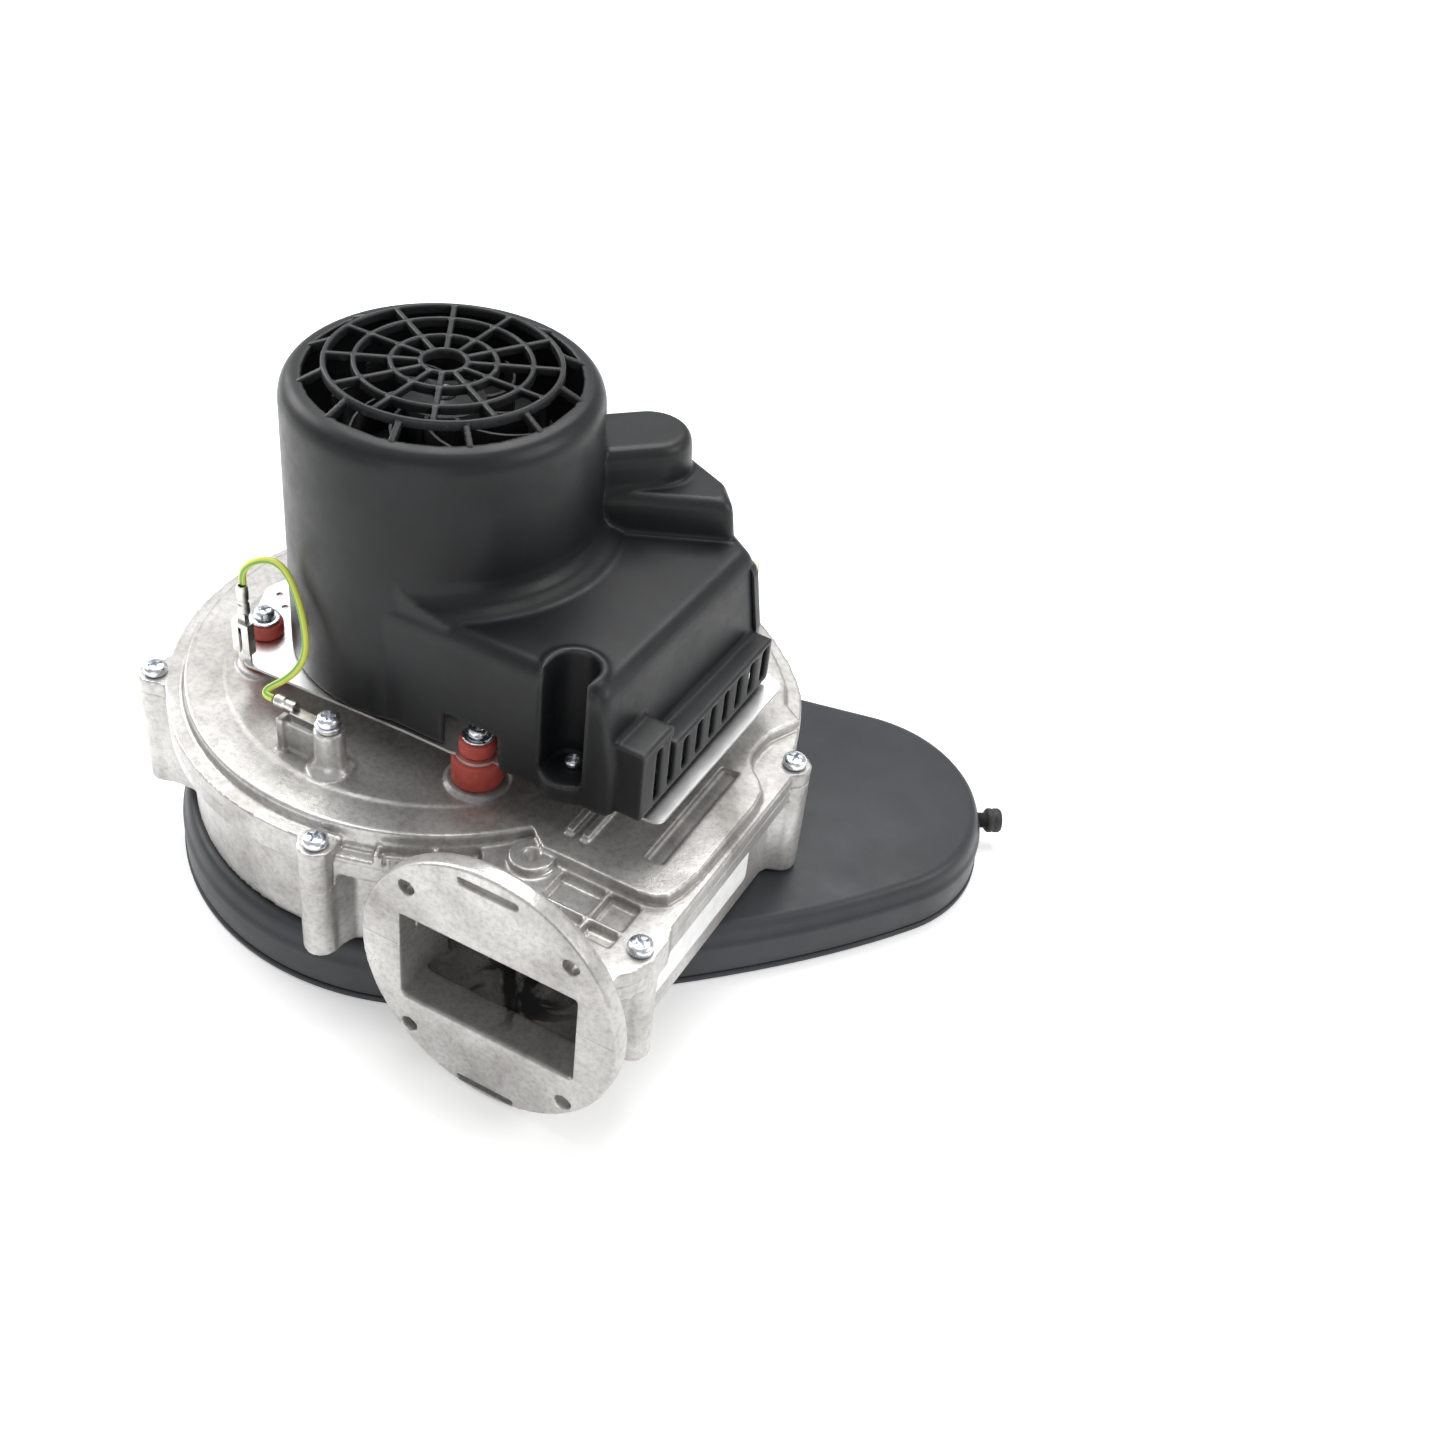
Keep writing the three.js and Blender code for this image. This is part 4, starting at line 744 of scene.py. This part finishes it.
label_film = mottled(
    "label_film", [(0.3, (0.74, 0.74, 0.73)), (0.65, (0.84, 0.84, 0.84))], 180.0, 4.0, 0.35)

label = block(141.0, 141.35, -78, 3, 38, 63)
bmesh.ops.bevel(label, geom=[e for e in label.edges
                             if abs(e.verts[0].co.x - e.verts[1].co.x) > 0.1],
                offset=2, segments=5, affect="EDGES", profile=0.5, material=-1)
shown("flank_label", to_metres(mesh_of(label), smooth=False),
      material=label_film)

# ---- pan head screws -----------------------------------------------------
# Zinc plated thread forming screws with a domed head and a cross recess. Six
# clamp the two castings, and smaller ones hold the isolators and the cover.

zinc = mottled(
    "bright_zinc", [(0.3, (0.66, 0.69, 0.74)), (0.7, (0.84, 0.87, 0.92))], 700.0, 4.0,
    (0.2, 0.36), 1.0, (0.15, 0.0001))


def pan_head(head, height, shank, length, pitch, turn):
    """A screw standing on z = 0, head up, with a cross recess and a rolled thread."""
    thread = [(shank - 0.35 if i % 2 else shank, -length + 1 + i * pitch / 2)
              for i in range(int(2 * (length - 2) / pitch))]
    body = turned([(0, -length)] + [(shank * 0.6, -length)] + thread + [
        (shank, -0.6), (shank, 0), (head - 0.3, 0), (head, 0.3), (head, height * 0.45),
        (head * 0.96, height * 0.68), (head * 0.84, height * 0.87), (head * 0.62, height * 0.97),
        (0, height),
    ], steps=40)
    arm = head * 0.15
    reach = head * 0.62
    spin = Matrix.Rotation(math.radians(turn), 4, "Z")
    return cut(
        body,
        placed(block(-arm, arm, -reach, reach, height * 0.45, height + 1), spin),
        placed(block(-reach, reach, -arm, arm, height * 0.45, height + 1), spin),
        placed(turned([(0, height * 0.4), (head * 0.26, height * 0.6), (head * 0.3, height + 1),
                       (0, height + 1)], steps=8), spin),
    )


def screw_at(name, node_name, x, y, seat, sizes, turn, flip=False):
    """A zinc screw whose head sits at a height, pointing down, or up where flipped."""
    mesh = pan_head(*sizes, turn)
    if flip:
        mesh.transform(Matrix.Rotation(math.pi, 4, "X"))
    mesh.transform(Matrix.Translation((x, y, seat)))
    piece = shown(name, to_metres(mesh), replaces=[node_name], material=zinc)
    return eased(piece, 0.12, 2, 40)


HOUSING_SCREW = (4.75, 3.6, 2.4, 23, 1.6)
HEAD_GAP = 0.3
for number, (x, y) in enumerate(HOUSING_SCREWS, 1):
    screw_at(f"housing_pan_screw_{number}", f"housing_screw_{number}", x, y,
             RIM_TOP + HEAD_GAP, HOUSING_SCREW, 17 + number * 41)

# ---- isolators -----------------------------------------------------------
# Three red silicone grommets carry the motor plate, so that its hum stays out
# of the casting. Each is a thick foot and a collar, with the plate between.

silicone = mottled(
    "red_silicone", [(0.3, (0.38, 0.05, 0.035)), (0.55, (0.46, 0.07, 0.05)),
                     (0.8, (0.54, 0.13, 0.10))],
    160.0, 6.0, 0.55, relief=(0.15, 0.0002), fade=0.65)
shader = silicone.node_tree.nodes["Principled BSDF"]
shader.inputs["Subsurface Weight"].default_value = 0.08
shader.inputs["Subsurface Radius"].default_value = (0.003, 0.001, 0.0008)

ISOLATOR_SCREW = (3.9, 3.4, 2.0, 20, 1.4)
for number, (x, y) in enumerate(ISOLATORS, 1):
    grommet = turned([
        (3, 87.1), (9.0, 87.1), (9.7, 87.5), (9.9, 88.2), (9.9, 97.4), (9.6, 98.2), (8.9, 98.6),
        (6.2, 98.6), (6, 98.9), (6, 100.2), (6.2, 100.4), (6.5, 100.5), (7.0, 101), (7.1, 101.6),
        (7.0, 105.4), (6.7, 106.1), (6.1, 106.5), (3, 106.5),
    ], (x, y), 64)
    shown(f"silicone_grommet_{number}", to_metres(mesh_of(grommet)),
          replaces=[f"isolator_{number}"], material=silicone)
    washer = turned([(2.7, 106.85), (5.8, 106.8), (6, 107.0), (6, 107.6), (5.8, 107.8),
                     (2.7, 107.8)], (x, y), 48)
    shown(f"grommet_washer_{number}", to_metres(mesh_of(washer)),
          replaces=[f"isolator_washer_{number}"], material=zinc)
    screw_at(f"grommet_screw_{number}", f"isolator_screw_{number}", x, y, 108.1,
             ISOLATOR_SCREW, 30 * number)

# ---- motor plate ---------------------------------------------------------
# A stamped sheet of bright steel that carries the motor. Its edge follows the
# cover, bulges round the front isolator, and has a tab for the earth receptacle.

bright_sheet, shader, node, wire_up = node_maker("bright_sheet_steel")
place = node("ShaderNodeTexCoord")
stretch = node("ShaderNodeMapping")
stretch.inputs["Scale"].default_value = (30, 1500, 600)
brush = node("ShaderNodeTexNoise", in_scale=1.0, in_detail=4.0)
smear = node("ShaderNodeTexNoise", in_scale=45.0, in_detail=5.0)
tone = colour_steps(node, [(0.3, (0.80, 0.80, 0.80)), (0.7, (0.94, 0.94, 0.94))])
spread = node("ShaderNodeMapRange")
spread.inputs["To Min"].default_value = 0.22
spread.inputs["To Max"].default_value = 0.42
lines = node("ShaderNodeBump", in_strength=0.08, in_distance=0.0001)
wire_up(place.outputs["Object"], stretch.inputs["Vector"])
wire_up(stretch.outputs["Vector"], brush.inputs["Vector"])
wire_up(place.outputs["Object"], smear.inputs["Vector"])
wire_up(smear.outputs["Fac"], tone.inputs["Fac"])
wire_up(tone.outputs["Color"], shader.inputs["Base Color"])
wire_up(smear.outputs["Fac"], spread.inputs["Value"])
wire_up(spread.outputs["Result"], shader.inputs["Roughness"])
wire_up(brush.outputs["Fac"], lines.inputs["Height"])
wire_up(lines.outputs["Normal"], shader.inputs["Normal"])
shader.inputs["Metallic"].default_value = 1.0


def rounded(points, radius, steps=6):
    """The outline with each corner turned into an arc that suits its two sides."""
    done = []
    for before, corner, after in zip(points[-1:] + points[:-1], points, points[1:] + points[:1]):
        here = Vector(corner)
        back = Vector(before) - here
        on = Vector(after) - here
        half = back.angle(on) / 2
        run_out = min(radius / math.tan(half), back.length * 0.45, on.length * 0.45)
        start = here + back.normalized() * run_out
        end = here + on.normalized() * run_out
        for i in range(steps + 1):
            t = i / steps
            done.append(tuple(start * (1 - t) ** 2 + here * 2 * t * (1 - t) + end * t * t))
    return done


def shrunk(points, inset):
    """The outline moved inwards by an inset, each side kept parallel."""
    if not inset:
        return points
    moved = []
    for before, corner, after in zip(points[-1:] + points[:-1], points, points[1:] + points[:1]):
        here = Vector(corner)
        one = (here - Vector(before)).normalized()
        two = (Vector(after) - here).normalized()
        one_in = Vector((-one.y, one.x))
        two_in = Vector((-two.y, two.x))
        mitre = one_in + two_in
        moved.append(tuple(here + mitre * inset / max(mitre.dot(one_in), 0.3)))
    return moved


plate_outline = rounded([
    (-50, -60.5), (-44, -59.8), (24, -57.6), (43, -57.6), (49, -56), (57, -53.3), (92.6, -53.3),
    (93.5, -49), (126, -48), (126.5, 47), (108, 55), (70, 60), (22, 84), (-8, 86), (-20, 66),
    (-58, 40), (-74, -18), (-70, -27), (-56, -52),
], 4)
PLATE_LOW = 98.9
PLATE_TOP = 100.1
SMALL_HOLES = [(-67.5, -18.6), (-60.5, -24)]
COVER_SCREWS = [(89, -47.6), (97, 42), (-37, 41)]
COVER_SCREW_HOLE_R = 1.9
plate = cut(
    joined(slab(shrunk(plate_outline, -0.6), PLATE_LOW, PLATE_TOP),
           disc(*ISOLATORS[0], 8.4, PLATE_LOW, PLATE_TOP, 48)),
    disc(0, 0, 18, 90, 110, 64),
    *[disc(x, y, 1.5, 90, 110, 24) for x, y in SMALL_HOLES],
    *[disc(x, y, COVER_SCREW_HOLE_R, 90, 110, 24) for x, y in COVER_SCREWS],
    *[disc(x, y, 6.3, 90, 110, 40) for x, y in ISOLATORS],
)
plate = joined(plate, block(-54.5, -48.5, -58.8, -57.9, PLATE_LOW, 112))
eased(shown("motor_carrier_plate", to_metres(plate), replaces=["motor_plate"],
            material=bright_sheet), 0.3, 3)

# ---- motor cover ---------------------------------------------------------
# One moulding in black nylon: a round cap over the motor, a low hood over the
# control board beside it with a stepped corner at the back, and a comb of
# cooling slots along the right-hand side. It is held by a screw in a deep well.

CAP_TOP = 216
HOOD_TOP = 155
STEP_TOP = 171
LOBE_TOP = 187
COVER_LOW = 100.4
COVER_WALL = 2.6
RECESS = (89, -50)
RECESS_R = 8.8
COMB_SLOTS = 9
COMB_PITCH = 10.4
COMB_START = -42.5


def hood_outline(level):
    """The hood's outline for an inset, and for how far its right side leans out."""
    inset, lean = level
    corners = [(-10, -56), (4, -57.5), (105 + lean, -57.5), (107 + lean, 50), (87, 64.5), (62, 75),
               (24, 78), (-30, 50), (-30, 0)]
    return rounded(shrunk(corners, inset), 5)


def step_outline(inset):
    corners = [(40, 18), (60, 31), (97, 51), (86, 64), (62, 75), (24, 78), (0, 50)]
    return rounded(shrunk(corners, inset), 4)


def lobe_outline(inset):
    lean = math.radians(46)
    cap = arc(55.5, 56, 16 - inset, lean - math.pi / 2, lean + math.pi / 2, 24)
    inward = Vector((-math.cos(lean), -math.sin(lean))) * 30
    return [tuple(Vector(cap[0]) + inward)] + cap + [tuple(Vector(cap[-1]) + inward)]


motor_cover = joined(
    turned([(0, COVER_LOW), (59.5, COVER_LOW), (58.4, 204), (58.4, 206.5), (58.2, 209),
            (57.3, 211.8), (55.7, 214), (53.6, 215.5), (51.2, CAP_TOP), (0, CAP_TOP)],
           steps=192),
    stacked(hood_outline, [((0, 5), COVER_LOW), ((0, 5), 123), ((0, 1.2), 147),
                           ((0.4, 0.8), 150), ((1.4, 0.6), 152.6), ((3.0, 0.4), 154.3),
                           ((5.0, 0.2), HOOD_TOP)]),
    stacked(step_outline, [(-1.5, 150), (-0.6, 158), (0, 164), (0.6, 167.6), (1.8, 169.8),
                           (3.6, STEP_TOP)]),
    stacked(lobe_outline, [(-1.2, 168), (-0.3, 173), (0, 180), (0.5, 183.6), (1.8, 186),
                           (3.8, LOBE_TOP)]),
    overlap(turned([(50, 150), (69.5, 150), (68.6, 154.8), (66, 156.4), (62, 158.2),
                    (59.6, 161.5), (58.6, 167), (50, 167)], steps=160),
            stacked(hood_outline, [((1.5, 0), 149), ((1.5, 0), 168)])),
    block(104, 121, -54, 46, 102.5, 122),
    block(104, 121, -54, -33, 102.5, 133),
    disc(*RECESS, 11.4, 101, HOOD_TOP + 1.2, 64),
)
hollow = joined(
    turned([(0, 90), (56.9, 90), (55.9, 208), (53.5, 212), (49.5, 213), (49.5, 221), (0, 221)],
           steps=160),
    stacked(hood_outline, [((COVER_WALL, 5), 90), ((COVER_WALL, 5), 123),
                           ((COVER_WALL, 1.2), HOOD_TOP - COVER_WALL)]),
    stacked(step_outline, [(COVER_WALL, 151), (COVER_WALL, STEP_TOP - COVER_WALL)]),
    stacked(lobe_outline, [(COVER_WALL, 167), (COVER_WALL, LOBE_TOP - COVER_WALL)]),
    block(103, 118.4, -51.4, 43.4, 90, 119.4),
    block(103, 118.4, -51.4, -35.6, 90, 130.4),
)
motor_cover = cut(motor_cover, hollow)
well_wall = cut(disc(*RECESS, 11.2, 107, HOOD_TOP - 0.4, 64),
                block(60, 120, -80, -57.55, 90, 230))
motor_cover = joined(motor_cover, well_wall)
motor_cover = cut(
    motor_cover,
    disc(*RECESS, RECESS_R, 109.5, HOOD_TOP + 9, 64),
    block(RECESS[0] - RECESS_R, RECESS[0] + RECESS_R, -80, RECESS[1], 109.5, HOOD_TOP + 9),
    disc(*COVER_SCREWS[0], COVER_SCREW_HOLE_R, 90, 120, 24),
    block(39, 63, -70, -38, 95, 116),
    block(70, 112, 50, 90, 118, 146),
)
for index in range(COMB_SLOTS):
    y = COMB_START + index * COMB_PITCH
    top = 128.5 if index < 2 else 119.6
    motor_cover = cut(motor_cover, block(113, 124, y - 2.2, y + 2.2, 105, top))
for x, y in ISOLATORS[1:]:
    motor_cover = cut(motor_cover, disc(x, y, 9, 95, 117, 40))

cover_nylon = moulded_plastic("cover_nylon", (0.007, 0.0074, 0.0085), (0.012, 0.013, 0.0148),
                              0.40)
motor_cover = cast(motor_cover, 0.9, 4, 0.3)
shown("motor_hood", to_metres(motor_cover), replaces=["motor_cover"],
      material=cover_nylon)

# ---- finger guard --------------------------------------------------------
# The web of rings and spokes moulded in the top of the cap. It stands a little
# above the rim, and short bars slope down to the rim half a pitch off the spokes.

GUARD_TOP = 221
GUARD_RINGS = (8.3, 18.8, 31.6, 42)
GUARD_SPOKES = 12
BAR = 1.1


def guard_ring(radius):
    low = GUARD_TOP - 3.6
    return turned([(radius - BAR, low), (radius + BAR, low),
                   (radius + BAR * 0.85, GUARD_TOP - 0.4), (radius + BAR * 0.5, GUARD_TOP),
                   (radius - BAR * 0.5, GUARD_TOP), (radius - BAR * 0.85, GUARD_TOP - 0.4)],
                  steps=96)


guard = joined(*[guard_ring(radius) for radius in GUARD_RINGS])
for index in range(GUARD_SPOKES):
    turn = 360 / GUARD_SPOKES * index
    spoke = block(GUARD_RINGS[0], GUARD_RINGS[-1], -BAR * 0.9, BAR * 0.9, GUARD_TOP - 3.3,
                  GUARD_TOP - 0.15)
    short = slab([(42, 217.4), (50.6, 212.6), (51.6, 214.2), (51.4, 216.2), (42, 220.6)],
                 -BAR, BAR)
    upright = Matrix.Rotation(math.radians(turn + 15), 4, "Z") @ Matrix.Rotation(
        math.pi / 2, 4, "X")
    guard = joined(guard, placed(spoke, Matrix.Rotation(math.radians(turn), 4, "Z")),
                   placed(short, upright))
guard = cast(guard, 0.5, 2, 0.5)
shown("finger_guard", to_metres(guard), material=cover_nylon)

# ---- cooling fan ---------------------------------------------------------
# A small moulded fan on the top end of the shaft draws air through the guard.
# Its nine curved blades stand on a thin disc that is moulded with the hub.

FAN_BLADES = 9
fan_nylon = moulded_plastic("fan_nylon", (0.012, 0.012, 0.013), (0.022, 0.022, 0.024), 0.42)


def fan_blade(inner, outer, sweep, thickness, low, high, tip_drop, steps=8):
    """An upright blade that curves back by an angle, with a top that falls to its tip."""
    form = bmesh.new()
    rows = []
    for side in (-1, 1):
        for level in (low, high):
            row = []
            for i in range(steps + 1):
                t = i / steps
                radius = inner + (outer - inner) * t
                turn = sweep * t ** 1.2 + side * math.degrees(thickness / 2 / radius)
                z = level - tip_drop * t if level == high else level
                row.append(form.verts.new((*at(radius, turn), z)))
            rows.append([form.edges.new(pair) for pair in zip(row, row[1:])])
    for one, two in ((0, 1), (1, 3), (3, 2), (2, 0)):
        bmesh.ops.bridge_loops(form, edges=rows[one] + rows[two])
    bmesh.ops.holes_fill(form, edges=form.edges, sides=4)
    bmesh.ops.recalc_face_normals(form, faces=form.faces)
    return form


wheel = joined(
    turned([(4.3, 189), (15, 189), (16, 191), (16, 203), (15, 206), (12.4, 207), (4.3, 207)],
           steps=64),
    turned([(14, 189), (40.6, 189), (41, 189.4), (41, 190.4), (40.6, 190.8), (14, 190.8)],
           steps=96),
)
for index in range(FAN_BLADES):
    blade = fan_blade(14.5, 40, 50, 1.4, 190, 206, 3)
    turn = math.radians(360 / FAN_BLADES * index)
    wheel = joined(wheel, placed(blade, Matrix.Rotation(turn, 4, "Z")))
eased(shown("cooling_wheel", to_metres(wheel), body="rotor", replaces=["cooling_fan"],
            material=fan_nylon), 0.25)

# ---- rear cover and power header -----------------------------------------
# A snap-in plate closes the back corner of the hood. The beige nylon header for
# the supply plug looks out of it.

rear_plate = overlap(
    stacked(hood_outline, [((-0.9, 5), 116), ((-1.5, 5), 116.6), ((-1.5, 5), 123),
                           ((-1.5, 1.2), 146), ((-0.9, 0.9), 148), ((0.1, 0.7), 149.4)]),
    slab([(70, 64), (98, 46), (125, 46), (125, 90), (70, 90)], 100, 160))
rear_plate = cut(
    rear_plate,
    stacked(hood_outline, [((-0.3, 5), 100), ((-0.3, 5), 123), ((-0.3, 1.2), 147),
                           ((0.8, 0.6), 151), ((0.8, 0.6), 160)]),
    block(92, 103, 50, 75, 126, 138),
)
eased(shown("rear_closure", to_metres(rear_plate, smooth=False), replaces=["rear_cover"],
            material=cover_nylon), 0.35, 3)

header_nylon = mottled(
    "header_nylon", [(0.3, (0.58, 0.50, 0.36)), (0.7, (0.72, 0.66, 0.52))], 120.0, 4.0, 0.45)
header = cut(block(93, 102, 40, 68, 127, 137), block(94.5, 100.5, 52, 70, 128.5, 135.5))
for pin in (96, 99):
    header = joined(header, block(pin - 0.4, pin + 0.4, 50, 66, 131.4, 132.6))
eased(shown("supply_header", to_metres(header, smooth=False), replaces=["power_connector"],
            material=header_nylon), 0.4, 3)

# ---- cover screws --------------------------------------------------------
# Three small zinc screws hold the cover to the motor plate. One is driven down
# in the well of the hood, and two come up through the plate.

UNDER_SCREW = (3.2, 2.4, 1.1, 11, 1.0)
well_screw, under_one, under_two = COVER_SCREWS
screw_at("well_screw", "cover_screw_1", *well_screw, 109.8, (3.3, 2.6, 1.6, 14, 1.2), 20)
screw_at("under_screw_1", "cover_screw_2", *under_one, PLATE_LOW - HEAD_GAP, UNDER_SCREW,
         10, flip=True)
screw_at("under_screw_2", "cover_screw_3", *under_two, PLATE_LOW - HEAD_GAP, UNDER_SCREW,
         65, flip=True)

# ---- earth hardware ------------------------------------------------------
# A tinned push-on receptacle on the plate's tab, and a ring terminal under the
# screw of the earth boss. Both are rolled from thin strip round the wire.

tin = mottled(
    "tinned_strip", [(0.3, (0.50, 0.49, 0.46)), (0.7, (0.80, 0.79, 0.76))], 300.0, 5.0,
    (0.22, 0.45), 1.0)

socket = cut(block(-55.4, -47.6, -60.2, -56.5, 104, 118),
             block(-54.9, -48.1, -59.3, -57.3, 100, 116),
             block(-52.2, -50.8, -62, -59, 100, 116))
neck_strip = block(-53.2, -49.6, -58.9, -56.6, 117, 122)
barrel = turned([(1.45, 121), (2.0, 121), (2.25, 121.4), (2.25, 125.4), (1.9, 126), (1.9, 127.4),
                 (2.3, 128), (2.3, 132), (2.0, 134), (1.45, 134)], (-51.4, -56.8), 32)
receptacle = joined(socket, neck_strip, barrel)
eased(shown("push_on_receptacle", to_metres(receptacle, smooth=False),
            replaces=["earth_receptacle"], material=tin), 0.15)

ring_z = EARTH_BOSS_TOP + 0.3
ring = joined(
    turned([(2.6, ring_z), (4.6, ring_z), (4.6, ring_z + 0.9), (2.6, ring_z + 0.9)],
           EARTH_BOSS, 48),
    block(-14, boss_x - 3.6, boss_y - 1.9, boss_y + 1.9, ring_z, ring_z + 0.9),
)
crimp = turned([(1.5, 0), (2.2, 0), (2.3, 0.6), (2.0, 3.4), (2.0, 4.2), (2.4, 5), (2.4, 8.4),
                (2.1, 9), (1.5, 9)], steps=32)
placed(crimp, Matrix.Translation((-12.4, boss_y, ring_z + 2.3)) @ Matrix.Rotation(
    -math.pi / 2, 4, "Y"))
ring = joined(ring, crimp)
eased(shown("ring_terminal", to_metres(ring, smooth=False), replaces=["earth_ring_terminal"],
            material=tin), 0.15)
washer = turned([(2.5, 105.55), (4.9, 105.5), (5, 105.7), (5, 106.3), (4.8, 106.5),
                 (2.5, 106.5)], EARTH_BOSS, 48)
shown("earth_boss_washer", to_metres(mesh_of(washer)), replaces=["earth_washer"],
      material=zinc)
screw_at("earth_boss_screw", "earth_screw", boss_x, boss_y, 106.8, (4.4, 3.4, 2.0, 12, 1.4), 35)

# ---- motor, shaft and impeller -------------------------------------------
# The working parts inside keep the shapes of their solids. They get the finish
# of what they are: stacked steel, enamelled copper, ferrite, ground steel.


def inner_finish(name, low, high, scale, rough, metallic, stretch=(1, 1, 1)):
    """A finish whose sheen varies a little about one roughness."""
    return mottled(name, [(0.32, low), (0.68, high)], scale, 5.0, (rough - 0.08, rough + 0.1),
                   metallic, (0.2, 0.0002), stretch=stretch)


stacked_steel = inner_finish("stacked_steel", (0.10, 0.10, 0.10), (0.24, 0.23, 0.22), 1.0, 0.45,
                             0.8, (60, 60, 2400))
copper = inner_finish("enamelled_copper", (0.35, 0.12, 0.05), (0.62, 0.26, 0.11), 1.0, 0.3, 0.9,
                      (200, 200, 1800))
ferrite = inner_finish("ferrite", (0.05, 0.05, 0.05), (0.10, 0.10, 0.10), 300, 0.6, 0.2)
ground_steel = inner_finish("ground_steel", (0.5, 0.5, 0.5), (0.72, 0.72, 0.72), 1.0, 0.28, 1.0,
                            (300, 300, 3000))
rolled_sheet = inner_finish("rolled_aluminium", (0.42, 0.41, 0.40), (0.62, 0.61, 0.59), 120, 0.42,
                            0.9)
board_green = inner_finish("solder_resist", (0.01, 0.09, 0.03), (0.02, 0.16, 0.05), 400, 0.4, 0.0)
sleeve_blue = inner_finish("capacitor_sleeve", (0.02, 0.03, 0.09), (0.04, 0.05, 0.14), 90, 0.35,
                           0.1)

FINISHES = {
    "lower_end_shield": die_cast, "upper_end_shield": die_cast, "heat_sink": die_cast,
    "stator_core": stacked_steel, "rotor_core": stacked_steel, "rotor_magnet": ferrite,
    "lower_bearing": ground_steel, "upper_bearing": ground_steel, "shaft": ground_steel,
    "impeller": rolled_sheet, "impeller_nut": zinc, "circuit_board": board_green,
    "capacitor_1": sleeve_blue, "capacitor_2": sleeve_blue, "plenum_seal": rubber,
    "shaft_seal": rubber,
}
FINISHES.update({f"stator_coil_{number}": copper for number in range(1, 7)})
for name, finish in FINISHES.items():
    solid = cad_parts[name]
    solid.data.materials.clear()
    solid.data.materials.append(finish)
